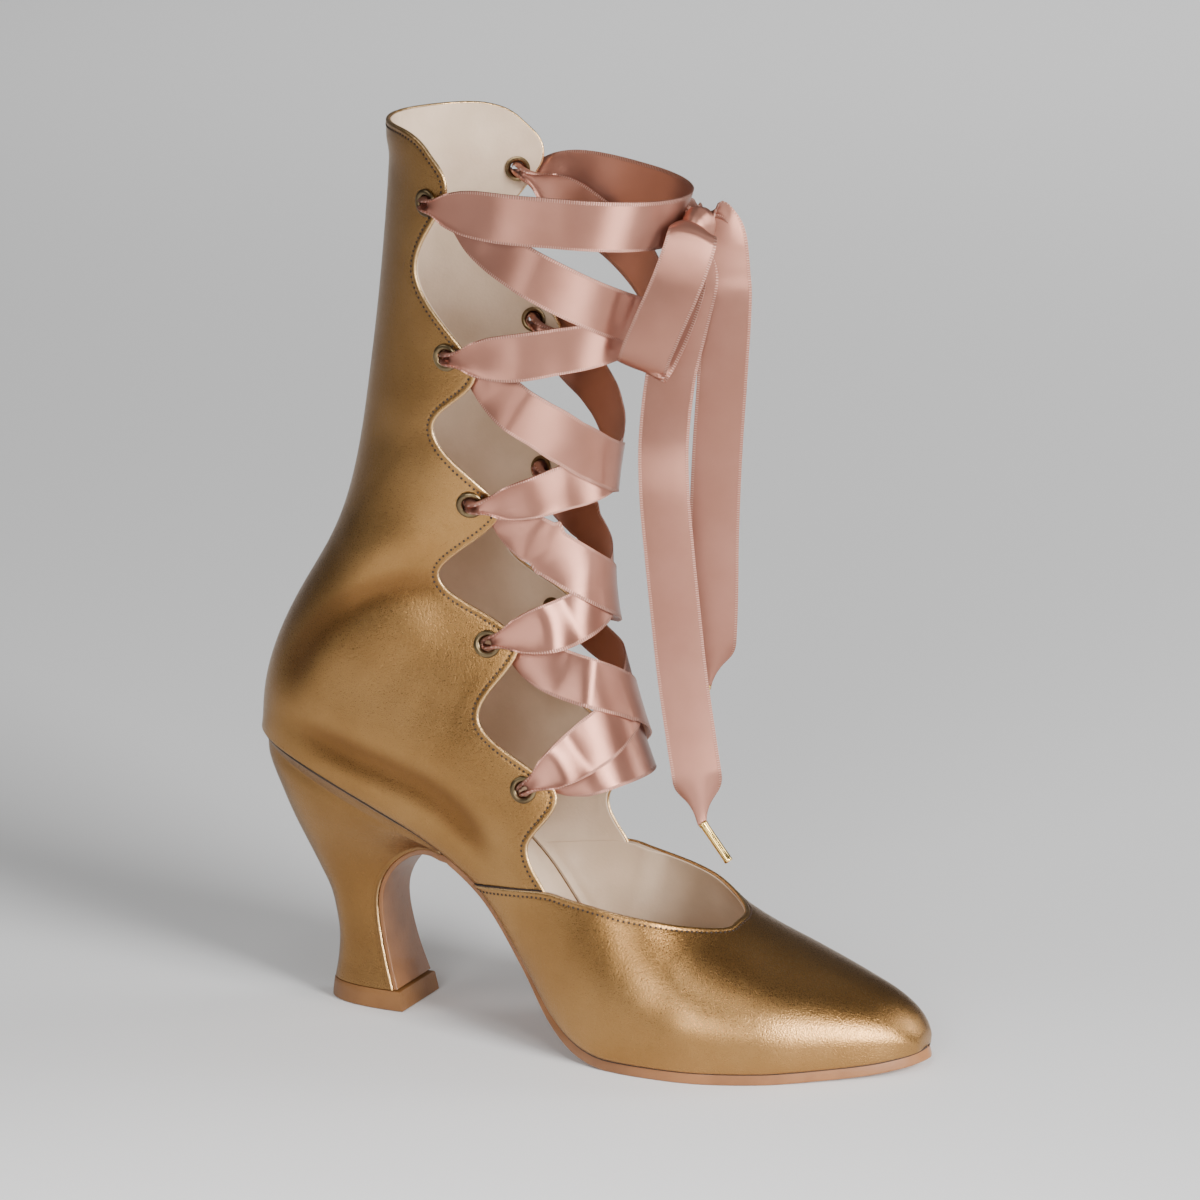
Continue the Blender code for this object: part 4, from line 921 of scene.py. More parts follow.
# %% [markdown]
# ## Panels of the upper
# A maker cuts a vamp and two quarters, skives and folds their edges, closes the quarters with a back seam
# and stitches the vamp over them. Each panel here is a closed shell: an outer face, a round folded edge with
# bead and furrow, and a back. Rows run from the sole (or the seam) up to the edge, and a fine border follows
# the edge, so that fold and stitching stay even round the lobes. The lining is a thinner shell inside.

# %% Panel faces
VAMP_LAP, LAP_START, LINING_TUCK = 0.8, 0.12, 1.6
TUCK_START, TUCK_RUN, TUCK_RISE = 9.4, 0.9, 0.2
LEATHER_BACK, LINING_FACE, LINING_BACK = -1.0, -1.06, -1.75
FOOT_KEPT, TOP_KEPT, TOE_STATION = 0.22, 0.15, 0.5
FAR = 20.0    # distance that stands for no edge near


def vamp_lap(s, g):
    """Height of the vamp over the quarters, which fades towards the sole and the tip of the toe."""
    return VAMP_LAP * np.clip((1 - np.abs(g)) / LAP_START, 0.0, 1.0) * np.clip(s, 0.0, 1.0)


def lining_lap(s, g):
    """The same for the inside of the vamp's lining, which covers the quarters' lining where they overlap."""
    tuck = soft_step((s - TUCK_START) / TUCK_RUN) * soft_step((1 - np.abs(g)) / TUCK_RISE)
    return vamp_lap(s, g) - LINING_TUCK * tuck


def soften(grid, share, passes):
    """Blur a grid across its rows by repeated means, not at its foot, its border or its end rows."""
    weight = soft_step(share / FOOT_KEPT) * soft_step((1 - share) / TOP_KEPT)
    weight = weight.reshape((1, -1) + (1,) * (grid.ndim - 2))
    for _ in range(passes):
        mean = (grid[:-2] + 2 * grid[1:-1] + grid[2:]) / 4
        grid = np.concatenate([grid[:1], grid[1:-1] + (mean - grid[1:-1]) * weight, grid[-1:]])
    return grid


def raised(place, height, side, lap, share=None, passes=0):
    """Points over the skin at places (..., 2) by a height, with lap and creases; the tip of the toe stays."""
    s, g = place[..., 0], place[..., 1]
    points = skin(s, g)
    normal = skin_normal(s, g)
    if passes:
        points = soften(points, share, passes)
        normal = soften(normal, share, passes)
    out = height * np.clip(s / TOE_STATION, 0.0, 1.0) + crease_relief(points, side)
    if lap:
        out = out + lap(s, g)
    return points + out[..., None] * normal


def leather_back(distance):
    """Height of the folded leather's back: the mirror of the round fold, then flat."""
    return LEATHER_BACK - np.where(distance < FOLD_RADIUS, fold_height(distance), 0.0)


def panel(foot, edge, side, lap, shrink, layer, first_edge=0, passes=0):
    """Face, border, back and foot of one half panel, as grids, values for its points, and its end polygons.

    layer is (border distances, face height, back height, columns), and lap holds two functions that raise
    face and back, or None. Rows before first_edge have no edge of their own: they run on to the crest.
    """
    distances, face_height, back_height, columns = layer
    border = inset_lines(edge[first_edge:], foot[first_edge:], distances, shrink[first_edge:])
    if first_edge:
        border[0, :, 1] = 0.0
    top = np.concatenate([edge[:first_edge], border[:, 0]])
    grids, edges = [], []
    for height, more in ((face_height, lap[0]), (back_height, lap[1])):
        share = np.linspace(0.0, 1.0, columns)
        body = between(foot[:, None], top[:, None], share[:, None])
        grids.append(raised(body, height(distances[0]), side, more, share, passes))
        edges.append(np.full(body.shape[:2], FAR))
        grids.append(raised(border, height(distances), side, more))
        edges.append(np.broadcast_to(distances, border.shape[:2]))
    grids.append(np.stack([grids[0][:, 0], grids[2][:, 0]], axis=1))
    edges.append(np.full(grids[4].shape[:2], FAR))
    row_ends = []
    for row in (-1,) if first_edge else (0, -1):
        face = np.concatenate([grids[0][row], grids[1][row][1:]])
        behind = np.concatenate([grids[2][row], grids[3][row][1:-1]])
        row_ends.append(np.concatenate([face, behind[::-1]]))
    depths = [np.maximum(-crease_relief(grid, side), 0.0) for grid in grids]
    return grids, {"edge": edges, "crease": depths}, row_ends, border


# %% Layers of the panels
LINING_BORDER = np.array([5.0, 3.0, 1.6, 1.0, 0.8, 0.66, 0.55, 0.48, 0.45])
LINING_FLAT, LINING_ROUND = 0.8, 0.35
LINING_MIDDLE, LINING_HALF = (LINING_FACE + LINING_BACK) / 2, (LINING_FACE - LINING_BACK) / 2


def lining_round(distance):
    """Half the lining's thickness at a distance: it rounds off over the last third of a millimetre."""
    return LINING_HALF * np.sqrt(1 - np.clip((LINING_FLAT - distance) / LINING_ROUND, 0.0, 1.0) ** 2)


def lining_face(distance):
    """Height of the lining's face against the leather."""
    return LINING_MIDDLE + lining_round(distance)


def lining_back(distance):
    """Height of the lining's face inside the boot."""
    return LINING_MIDDLE - lining_round(distance)


LEATHER_LAYER = (BORDER, fold_height, leather_back, 44)
LINING_LAYER = (LINING_BORDER, lining_face, lining_back, 30)
print("leather", -LEATHER_BACK, "mm thick, lining", round(2 * LINING_HALF, 2), "mm")

# %% [markdown]
# ## Vamp
# The vamp covers the toes and reaches back along the foot. Rows in front of the throat run over the crest,
# so its two halves share that line and merge into one skin. Its edge is a folded topline that goes on as the
# lapped seam over the quarters. On the inner side the topline draws back a little earlier.

# %% Vamp
SIDES = ((-1, "outer"), (1, "inner"))
THROAT_FOOT, TOE_CROWD, BORDER_ROOM = 5.3, 1.3, 9.0
SEAM_DOWN = (EDGE[0], (62.5, 53.5), SEAM_FOOT)
VAMP_EDGES = {
    -1: np.array([(131.0, 43.6), (130.6, 43.0), (126.6, 44.1), (120.6, 46.1), (111.0, 49.0), (96.2, 52.2),
                  (86.0, 53.7), *SEAM_DOWN]),
    1: np.array([(131.0, 43.6), (128.0, 44.2), (121.6, 46.2), (112.6, 49.0), (100.6, 51.4), (88.0, 53.2),
                 *SEAM_DOWN]),
}


def vamp_rows(side, toe_rows=70, edge_rows=130):
    """Feet and edge places of the vamp's rows on one side, from the tip of the toe to the end of the seam."""
    edge = side_place(smooth_line(VAMP_EDGES[side], 1200), side)
    edge[0, 1] = 0.0
    edge[-1, 1] = side
    length = arc_length(skin(*edge.T))
    edge = read_along(edge, length, np.linspace(0.0, length[-1], edge_rows))
    toe = np.linspace(0.0, 1.0, toe_rows)[:-1] ** TOE_CROWD
    top = np.concatenate([np.stack([toe * edge[0, 0], 0 * toe], axis=1), edge])
    station = np.concatenate([toe * THROAT_FOOT, np.linspace(THROAT_FOOT, edge[-1, 0], edge_rows)])
    foot = np.stack([station, np.full(len(top), float(side))], axis=1)
    return foot, top, toe_rows - 1


def vamp_shell(layer, lap):
    """Grids, values, end polygons and borders of both halves of the vamp in one layer."""
    grids, values, row_ends, borders = [], {"edge": [], "crease": []}, [], []
    for side, _ in SIDES:
        foot, top, first = vamp_rows(side)
        row_length = np.linalg.norm(skin(*top.T) - skin(*foot.T), axis=1)
        shrink = np.clip(row_length / BORDER_ROOM, 0.02, 1.0)
        border = inset_lines(top[first:], foot[first:], layer[0], shrink[first:])
        top[:first, 0] *= border[0, 0, 0] / top[first, 0]
        made = panel(foot, top, side, lap, shrink, layer, first)
        grids += made[0]
        row_ends += made[2]
        borders.append(made[3])
        for key, arrays in made[1].items():
            values[key] += arrays
    return grids, values, row_ends, borders


grids, values, row_ends, vamp_borders = vamp_shell(LEATHER_LAYER, (vamp_lap, vamp_lap))
vamp = piece_from("vamp", grids, upper_gold, values=values, ends=row_ends)
on_boot(vamp, "gold_leather", "upper")

# %% [markdown]
# ## Quarters
# Each quarter runs from the seam under the vamp round to the back seam, and up to the collar. Its front edge
# dives a little under the vamp. The last row lies on the back seam itself, where the two quarters meet.

# %% Quarters
QUARTER_EDGE = np.concatenate([[(79.4, 50.6)], EDGE])
QUARTER_SEAM = np.array([(74.0, 50.2), (60.0, 48.6), SEAM_FOOT])
QUARTER_FEET = np.array([12.1, 13.8, 15.3, 17.0, 19.0, 20.5, 22.0, 23.4, 24.8, 26.0, 27.0, 27.8])[:, None]
SEAM_ROWS, QUARTER_PASSES = 3, 160
BACK_FURROW, BACK_GAP = (0.3, 0.0, 0.7), 0.01    # depth, middle and width of the furrow
BACK_FRONT, BACK_RUN, BACK_FOOT, BACK_RISE = 20.0, 10.0, 92.0, 4.0    # where it begins, in x and z


def quarter_rows(side, rows=330):
    """Feet and edge places of a quarter's rows, from under the vamp to the back seam.

    The feet of the first rows run down the seam under the vamp, and the others stand on the sole.
    """
    fine_at = np.linspace(0.0, len(QUARTER_EDGE) - 1.0, 2400)
    edge = side_place(smooth_rows(QUARTER_EDGE, fine_at), side)
    edge[-1] = (LAST_TOP, side)
    length = arc_length(skin(*edge.T))
    at = np.linspace(0.0, length[-1], rows)
    edge = read_along(edge, length, at)
    row_at = np.interp(at, length, fine_at)
    on_seam = np.clip(row_at / SEAM_ROWS, 0.0, 1.0)
    seam = side_place(smooth_rows(QUARTER_SEAM, 2.0 * on_seam), side)
    station = smooth_rows(QUARTER_FEET, np.clip(row_at - SEAM_ROWS, 0.0, len(QUARTER_FEET) - 1.0))[:, 0]
    base = np.stack([station, np.full(rows, float(side))], axis=1)
    blend = soft_step(on_seam)[:, None] ** 3
    return seam * (1 - blend) + base * blend, edge


def back_seam(points, side):
    """Draw the leather in along the back seam as a fine furrow, and keep each quarter on its own side."""
    x, y, z = np.moveaxis(points, -1, 0)
    behind = np.clip((BACK_FRONT - x) / BACK_RUN, 0.0, 1.0) * np.clip((z - BACK_FOOT) / BACK_RISE, 0.0, 1.0)
    apart = np.where(np.abs(y) < 5 * BACK_GAP, side * BACK_GAP, y)
    return np.stack([x + bell(y, *BACK_FURROW) * behind, apart, z], axis=-1)


def quarter_shell(side, layer):
    """Grids, values, end polygons and border of one quarter in one layer."""
    foot, top = quarter_rows(side)
    grids, values, row_ends, border = panel(foot, top, side, (None, None), np.ones(len(top)), layer,
                                            passes=QUARTER_PASSES)
    return [back_seam(g, side) for g in grids], values, [back_seam(e, side) for e in row_ends], border


quarters = []
quarter_borders = []
for side, label in SIDES:
    grids, values, row_ends, border = quarter_shell(side, LEATHER_LAYER)
    piece = piece_from(f"quarter_{label}", grids, upper_gold, values=values, ends=row_ends)
    quarters.append(on_boot(piece, "gold_leather", "upper"))
    quarter_borders.append(border)

# %% [markdown]
# ## Lining
# Inside, the boot is lined with pale glove leather. It lies on the back of the leather and ends just short of
# the folded edge, where it shows as a thin pale line. The same panel function makes it with other heights.

# %% Lining
grids, _, row_ends, _ = vamp_shell(LINING_LAYER, (vamp_lap, lining_lap))
linings = [piece_from("lining_vamp", grids, pale_lining, ends=row_ends)]
for side, label in SIDES:
    grids, _, row_ends, _ = quarter_shell(side, LINING_LAYER)
    linings.append(piece_from(f"lining_{label}", grids, pale_lining, ends=row_ends))
for piece in linings:
    on_boot(piece, "sock_leather", "upper")

# %% [markdown]
# ## Holes for the eyelets
# Each eyelet needs a real hole, so that the ribbon can run through it. Punching is what a maker does, and a
# Boolean with ten small drums does the same to the finished shells. The flange hides the cut edge.

# %% Punch the holes
HOLE_RADIUS, HOLE_DEPTH, HOLE_SIDES = 3.0, 9.0, 24


def eyelet_places():
    """Centre, outward normal and label of each eyelet, the outer side first, counted from the lowest."""
    found = []
    for side, label in SIDES:
        place = side_place(EYELETS, side)
        centres = raised(place, 0.0, side, None)
        normals = skin_normal(*place.T)
        found += [(c, n, f"{label}_{k + 1}") for k, (c, n) in enumerate(zip(centres, normals))]
    return found


drums = bmesh.new()
for centre, normal, _ in eyelet_places():
    turn = Vector(normal).to_track_quat("Z", "Y").to_matrix().to_4x4()
    place = Matrix.Translation(Vector(centre) * MM) @ turn
    bmesh.ops.create_cone(drums, cap_ends=True, segments=HOLE_SIDES, radius1=HOLE_RADIUS * MM,
                          radius2=HOLE_RADIUS * MM, depth=HOLE_DEPTH * MM, matrix=place)
drum_mesh = bpy.data.meshes.new("drums")
drums.to_mesh(drum_mesh)
drums.free()
punch = add_object("punch", drum_mesh)
for piece in [*quarters, *linings[1:]]:
    cut = piece.modifiers.new("eyelet holes", "BOOLEAN")
    cut.operation = "DIFFERENCE"
    cut.object = punch
    cut.solver = "MANIFOLD"
    depsgraph = bpy.context.evaluated_depsgraph_get()
    holed = bpy.data.meshes.new_from_object(piece.evaluated_get(depsgraph))
    piece.modifiers.clear()
    piece.data = holed
    print(piece.name, "punched,", len(holed.polygons), "faces")
bpy.data.objects.remove(punch)

# %% [markdown]
# ## Stitches
# A row of small dark stitches follows every folded edge, one every 1.75 mm. One stitch is a tiny
# flattened ball that lies in the furrow. Its points are computed once, and whole arrays of frames carry it
# to every place on the line, so hundreds of stitches are one light mesh.

# %% Stitch rows
STITCH_PITCH, STITCH_LIFT, STITCH_SIZE = 1.75, 0.04, np.array([0.44, 0.42, 0.22])
STITCH_AHEAD, FURROW_LINES = 0.3, [6, 7]    # the furrow lies between two lines of the border


def unit_ball(rows, columns):
    """Ball of radius 1 as a grid with poles: latitude by rows, longitude by columns."""
    up = np.linspace(-math.pi / 2, math.pi / 2, rows)[:, None]
    turn = full_turn(columns)
    return np.stack([np.cos(up) * np.cos(turn), np.cos(up) * np.sin(turn), np.sin(up) + 0 * turn], axis=-1)


def stitch_frames(border, side, lap):
    """Centres and axes of the stitches along the furrow of one border: along, across, out."""
    furrow = border[:, FURROW_LINES].mean(axis=1)
    points = raised(furrow, fold_height(BORDER[FURROW_LINES].mean()) + STITCH_LIFT, side, lap)
    length = arc_length(points)
    at = np.arange(0.5 * STITCH_PITCH, length[-1], STITCH_PITCH)
    centre = read_along(points, length, at)
    along = unit(read_along(points, length, np.minimum(at + STITCH_AHEAD, length[-1])) - centre)
    out = read_along(skin_normal(*furrow.T), length, at)
    return centre, np.stack([along, np.cross(out, along), out], axis=1)


def stitch_row(name, rows):
    """One mesh of all stitches of several borders."""
    frames = [stitch_frames(*row) for row in rows]
    centres = np.concatenate([f[0] for f in frames])
    axes = np.concatenate([f[1] for f in frames])
    ball = unit_ball(6, 8) * STITCH_SIZE
    points = centres[:, None, None] + np.einsum("rck,nkj->nrcj", ball, axes)
    print(name, len(centres), "stitches")
    return piece_from(name, list(points), stitch_thread, closed=True)


SEWN = (("stitches_vamp", vamp_borders, vamp_lap), ("stitches_quarters", quarter_borders, None))
for name, borders, lap in SEWN:
    rows = [(border, side, lap) for border, (side, _) in zip(borders, SIDES)]
    on_boot(stitch_row(name, rows), "gold_leather")

# %% [markdown]
# ## Seam lines
# Where one layer of leather ends on another, the eye sees a fine dark line: dyed edges and the shadow between
# them. A thin dark cord in the crevice does it. It runs under the vamp's lapped edge on both sides, and
# round the foot where the upper is drawn in under sole and heel. In front of the arch it lies a little
# higher, so that the sole's rim leaves it in sight.

# %% Seam lines
LAP_HEIGHT, LAP_RADIUS, LAP_FRONT = -0.62, 0.42, 77.0
FEATHER_HEIGHT, FEATHER_RADIUS, FEATHER_STATIONS = 0.14, 0.46, np.linspace(0.1, 17.6, 260)
RIM_SHARE, ARCH_START, ARCH_RUN = 0.021, 10.5, 2.0


def thin_cord(path, radius, sides=8):
    """Rings of a round cord along a path: circles across its direction."""
    along = unit(np.gradient(path, axis=0))
    side = unit(np.cross(along, (0.31, 0.23, 0.92)))
    turn = full_turn(sides)[:, None]
    round_about = np.cos(turn) * side[:, None] + np.sin(turn) * np.cross(along, side)[:, None]
    return path[:, None] + radius * round_about


cords = []
for border, (side, _) in zip(vamp_borders, SIDES):
    path = raised(border[:, -1], LAP_HEIGHT, side, vamp_lap)
    cords.append(thin_cord(path[path[:, 0] < LAP_FRONT], LAP_RADIUS))
    above_rim = 1 - RIM_SHARE * (1 - soft_step((FEATHER_STATIONS - ARCH_START) / ARCH_RUN))
    feather = np.stack([FEATHER_STATIONS, side * above_rim], axis=1)
    cords.append(thin_cord(raised(feather, FEATHER_HEIGHT, side, None), FEATHER_RADIUS))
on_boot(piece_from("seam_lines", cords, stitch_thread, closed=True, caps=True), "gold_leather")

# %% [markdown]
# ## Eyelets
# A metal eyelet is a turned ring: a rolled flange outside, a barrel through the leather, and a spread edge
# inside. Its profile turns about the hole's axis. The finish is brass that was darkened and rubbed bright
# on the crown.

# %% Eyelets
CROWN = np.linspace(math.radians(-25), math.radians(205), 13)
CROWN_MIDDLE, CROWN_RADII, EYELET_SIDES = (0.3, 3.45), (0.75, 1.05), 40
EYELET_PROFILE = np.concatenate([    # place along the axis, radius
    np.stack([CROWN_MIDDLE[0] + CROWN_RADII[0] * np.sin(CROWN),
              CROWN_MIDDLE[1] + CROWN_RADII[1] * np.cos(CROWN)], axis=1),
    [(-0.6, 2.4), (-2.2, 2.45), (-2.5, 2.7), (-2.75, 3.3), (-2.6, 4.0), (-2.25, 4.1), (-1.95, 3.6),
     (-1.9, 2.95), (0.0, 2.95)],
])
for centre, normal, label in eyelet_places():
    ring = turned(EYELET_PROFILE, centre, centre + normal, EYELET_SIDES)
    ring = np.concatenate([ring, ring[:1]])
    eyelet = piece_from(f"brass_eyelet_{label}", [ring], antique_brass, closed=True)
    on_boot(eyelet, "antique_brass", f"eyelet_{label}")

# %% [markdown]
# ## Heel
# The heel is a curved wooden block covered with the upper's leather, whose colour here is a darker copy,
# painted shade. Its sections are D-shaped: a flat breast in front and a round back, from the wide seat down
# to the waist and out again to the lift. The cover's edge shows as a thin bead with a painted highlight
# round the seat and down both sides of the breast.

# %% Heel cover
BREAST = np.array([    # x, z, half width
    (34.6, 58.9, 23.4), (30.0, 59.3, 21.6), (24.4, 58.1, 18.6), (18.2, 55.1, 15.4), (12.2, 50.4, 12.8),
    (7.9, 44.8, 11.2), (5.8, 38.8, 10.5), (5.7, 32.4, 10.4), (6.9, 24.8, 10.8), (9.1, 15.8, 11.6),
    (11.9, 6.9, 12.8),
])
HEEL_BACK = np.array([    # x, z, swell of the sides
    (-37.2, 88.4, 4.4), (-36.4, 82.0, 6.0), (-32.4, 72.4, 7.6), (-28.0, 62.4, 7.6), (-23.2, 53.0, 6.4),
    (-18.8, 44.4, 4.6), (-15.2, 36.8, 3.0), (-13.4, 29.0, 1.8), (-12.5, 21.6, 1.1), (-13.0, 13.8, 0.7),
    (-14.2, 6.9, 0.5),
])
HEEL_FULLNESS, SEAT_GAP, SEAT_LEAD = 2.3, 0.04, 1.0
HEEL_ROWS, HEEL_COLUMNS, CORNER_CROWD = 120, 64, 1.6
SEAT_STEPS = np.array([0.0, 0.06, 0.12, 0.18, 0.25, 0.33, 0.42, 0.52, 0.64, 0.76, 0.88])[:, None, None]
SEAT_BEAD, BREAST_BEAD = (0.3, 0.55, 0.4), (0.5, 0.6, 0.5)    # height, distance from the edge, width


def offset_path(path, distance):
    """Side-view path (x, z) moved to its right-hand side by a distance."""
    along = unit(np.gradient(path, axis=0))
    return path + np.stack([along[:, 1], -along[:, 0]], axis=1) * np.asarray(distance)[..., None]


def station_at(x):
    """Station of the last whose base lies at x, under the foot."""
    return float(np.interp(-x, -LAST[:, 0], np.arange(len(LAST))))


def heel_rings(front, rear, half, swell, angle):
    """D-shaped rings from the outer front corner round the back to the inner one: a superellipse in plan."""
    q = np.sin(angle) ** (2 / HEEL_FULLNESS)
    wide = (half[:, None] + swell[:, None] * np.sin(math.pi / 2 * q)) * np.cos(angle) ** (2 / HEEL_FULLNESS)
    x = between(front[:, :1], rear[:, :1], q)
    z = between(front[:, 1:2], rear[:, 1:2], q)
    outer = np.stack([x, -wide, z], axis=-1)
    inner = np.stack([x, wide, z], axis=-1)
    return np.concatenate([outer[:, :-1], inner[:, ::-1]], axis=1)


def heel_cover():
    """Rings of the heel with beads, and each point's distance from the cover's edges.

    The first rings lead from the seat, which is the base of the last, down to the block's own sections.
    """
    share = np.linspace(0.0, 1.0, HEEL_COLUMNS) ** CORNER_CROWD
    fronts, rears = smooth_line(BREAST, HEEL_ROWS), smooth_line(HEEL_BACK, HEEL_ROWS)
    rings = heel_rings(fronts, rears, fronts[:, 2], rears[:, 2], math.pi / 2 * share)
    c = last_row(between(station_at(BREAST[0, 0] + SEAT_LEAD), SEAT_END, share))
    seat = offset_path(np.stack([c["base_x"], c["base_z"]], axis=1), -SEAT_GAP)
    outer, inner = (np.stack([seat[:, 0], c["swing"] + side * c["feather"], seat[:, 1]], axis=1)
                    for side, _ in SIDES)
    top = np.concatenate([outer[:-1], inner[::-1]])
    rings = np.concatenate([between(top, rings[0], SEAT_STEPS), rings])
    from_top = np.cumsum(np.linalg.norm(np.diff(rings, axis=0, prepend=rings[:1]), axis=2), axis=0)
    run = np.cumsum(np.linalg.norm(np.diff(rings, axis=1, prepend=rings[:, :1]), axis=2), axis=1)
    from_breast = np.minimum(run, run[:, -1:] - run)
    bead = bell(from_top, *SEAT_BEAD) + bell(from_breast, *BREAST_BEAD)
    normal = grid_normals(rings)
    middle = HEEL_ROWS // 2
    outward = np.sign(np.sum(normal[middle] * (rings[middle] - rings[middle].mean(axis=0))))
    return rings + (bead * outward)[..., None] * normal, np.minimum(from_top, from_breast)


rings, edge_distance = heel_cover()
half = rings.shape[1] // 2
lid, foot_end = (np.stack([ring[:half + 1], ring[::-1][:half + 1]], axis=1)
                 for ring in (rings[0], rings[-1]))
front = np.stack([rings[:, 0], rings[:, -1]], axis=1)
far = [np.full(g.shape[:2], FAR) for g in (lid, foot_end, front)]
values = {"edge": [edge_distance, *far]}
# the heel cover takes the darker copy of the gold, painted shade, and a painted highlight along its edges
cover = piece_from("heel_cover", [rings, lid, foot_end, front], shaded_heel_gold, values=values)
on_boot(cover, "gold_leather", "heel_block")

# %% [markdown]
# ## Lift
# The lift under the heel is the part that meets the floor. It is a short slab with the heel's D-shaped plan,
# rounded at its edges, and a hair wider than the block above it.

# %% Lift
LIFT = np.array([    # height, back, front, half width
    (0.0, -14.4, 15.0, 13.1), (0.12, -14.9, 15.5, 13.6), (0.45, -15.2, 15.8, 13.9), (2.0, -15.1, 15.5, 13.8),
    (4.4, -14.8, 15.0, 13.55), (6.1, -14.55, 14.7, 13.35), (6.5, -14.3, 14.4, 13.1), (6.6, -13.9, 14.0, 12.7),
])
LIFT_SWELL = 0.4
level, rear, front, half = LIFT.T
rings = heel_rings(np.column_stack([front, level]), np.column_stack([rear, level]), half,
                   np.full(len(LIFT), LIFT_SWELL), math.pi / 2 * np.linspace(0.0, 1.0, 40))
lift = piece_from("heel_lift", [rings], lift_rubber, closed=True, caps=True, sharp=35.0)
on_boot(lift, "heel_rubber", "top_piece")

# %% [markdown]
# ## Outsole
# The sole is one strip of leather: full under the ball, thin under the arch, and carried on down the breast
# of the heel as a flap. It is a profile with rounded edges along that path. A thin rim of it shows round the
# toe, in burnished tan with a dark line where the upper meets it.

# %% Outsole
SOLE_THICK, WAIST_THICK, FLAP_THICK, SOLE_RIM = 3.5, 2.3, 1.3, 0.6
ARCH_X, RIM_RUN, THICK_RUN, SOLE_GAP, SOLE_RAISE = 60.0, 30.0, 40.0, 0.3, 0.22
TOP_ROUND, LOW_ROUND, LOW_SHARE = 0.35, 0.75, 0.3
SOLE_LEAD, FLAP_RUN = 3.0, 3.0    # mm in front of the breast, rows of the breast's table


def sole_rows():
    """Upper face of the outsole from toe to heel: rows (x, z, swing, half, thickness)."""
    joint = station_at(BREAST[0, 0] + SOLE_LEAD)
    c = last_row(np.concatenate([np.linspace(0.06, 1.0, 20)[:-1], np.linspace(1.0, joint, 130)]))
    rim = SOLE_RIM * np.clip((c["base_x"] - ARCH_X) / RIM_RUN, 0.0, 1.0)
    thick = between(WAIST_THICK, SOLE_THICK, soft_step((c["base_x"] - ARCH_X) / THICK_RUN))
    top = offset_path(np.stack([c["base_x"], c["base_z"]], axis=1), -SOLE_GAP)
    body = np.column_stack([top, c["swing"], c["feather"] + rim, thick])
    u = np.linspace(0.0, len(BREAST) - 1.0, 70)
    breast = smooth_rows(BREAST, u)
    front = offset_path(breast[:, :2], -SOLE_GAP)
    thin = between(WAIST_THICK, FLAP_THICK, np.clip(u / FLAP_RUN, 0.0, 1.0))
    flap = np.column_stack([front, np.zeros(len(u)), breast[:, 2], thin])
    return np.concatenate([body, flap])


def sole_rings(rows):
    """Rings of the sole: a flat section whose lower corners are quarter circles and upper ones smaller."""
    under = offset_path(rows[:, :2], -rows[:, 4])
    down = (under - rows[:, :2]) / rows[:, 4:]
    half, thick = rows[:, 3:4], rows[:, 4:]
    low = np.minimum(LOW_ROUND, LOW_SHARE * thick)
    turn = np.linspace(0.0, math.pi / 2, 7)
    upper = half - TOP_ROUND + TOP_ROUND * np.sin(turn)
    right = np.concatenate([upper, half - low + low * np.cos(turn)], axis=1)
    upper = TOP_ROUND - TOP_ROUND * np.cos(turn) - SOLE_RAISE + 0 * half
    depth = np.concatenate([upper, thick - low + low * np.sin(turn)], axis=1)
    aside = np.concatenate([right, -right[:, ::-1]], axis=1)
    depth = np.concatenate([depth, depth[:, ::-1]], axis=1)
    x = rows[:, :1] + down[:, :1] * depth
    z = rows[:, 1:2] + down[:, 1:] * depth
    return np.stack([x, rows[:, 2:3] + aside, z], axis=-1)


sole = piece_from("leather_sole", [sole_rings(sole_rows())], sole_tan, closed=True, caps=True)
on_boot(sole, "sole_leather", "outsole")

# %% [markdown]
# ## Sock
# Inside, a thin sock of pale leather covers the insole from toe to heel. It follows the base of the last, is
# drawn in round at both ends, and is a little hollow along its middle, with rounded edges.

# %% Sock
SOCK_THICK, SOCK_HOLLOW, SOCK_EDGE, SOCK_BELOW = 1.75, 0.3, 30, 0.05
SOCK_INSET, SOCK_TOE, SOCK_HEEL, SOCK_ROUND = 0.5, 189.0, -33.0, 11.0
SOCK_STATIONS = np.linspace(1.75, 17.45, 110)


def sock_rings():
    """Rings of the sock along the base of the last.

    The width follows the feather line and shrinks to both ends by a square root. The height is a
    superellipse of high power across, less a shallow parabola in the middle.
    """
    c = last_row(SOCK_STATIONS)
    base = np.stack([c["base_x"], c["base_z"]], axis=1)
    over = offset_path(base, 1.0) - base
    to_end = np.minimum(SOCK_TOE - c["base_x"], c["base_x"] - SOCK_HEEL)
    half = ((c["feather"] - SOCK_INSET) * np.sqrt(np.clip(to_end / SOCK_ROUND, 0.02, 1.0)))[:, None]
    turn = np.sin(np.linspace(-math.pi / 2, math.pi / 2, 41))
    crown = SOCK_THICK * (1 - np.abs(turn) ** SOCK_EDGE) ** 0.5 - SOCK_HOLLOW * (1 - turn**2)
    aside = np.concatenate([half * turn, half * turn[::-1]], axis=1)
    height = np.concatenate([crown, SOCK_BELOW + 0 * crown])[None]
    x = base[:, :1] + over[:, :1] * height
    z = base[:, 1:] + over[:, 1:] * height
    return np.stack([x, c["swing"][:, None] + aside, z], axis=-1)


sock = piece_from("sock", [sock_rings()], pale_lining, closed=True, caps=True)
on_boot(sock, "sock_leather", "insole")

# %% [markdown]
# ## Lacing
# The ribbon comes up through an eyelet, is gathered there, opens out over the facing, crosses the shin and
# dives under the far facing to the next eyelet from inside. Each strip climbs evenly round the shaft, in the
# places (s, g) of the last, and a height over the skin says whether it lies outside, in front, or inside.
# In a hole its path turns by a quarter of a superellipse. The strip that crosses on top lies a little higher.

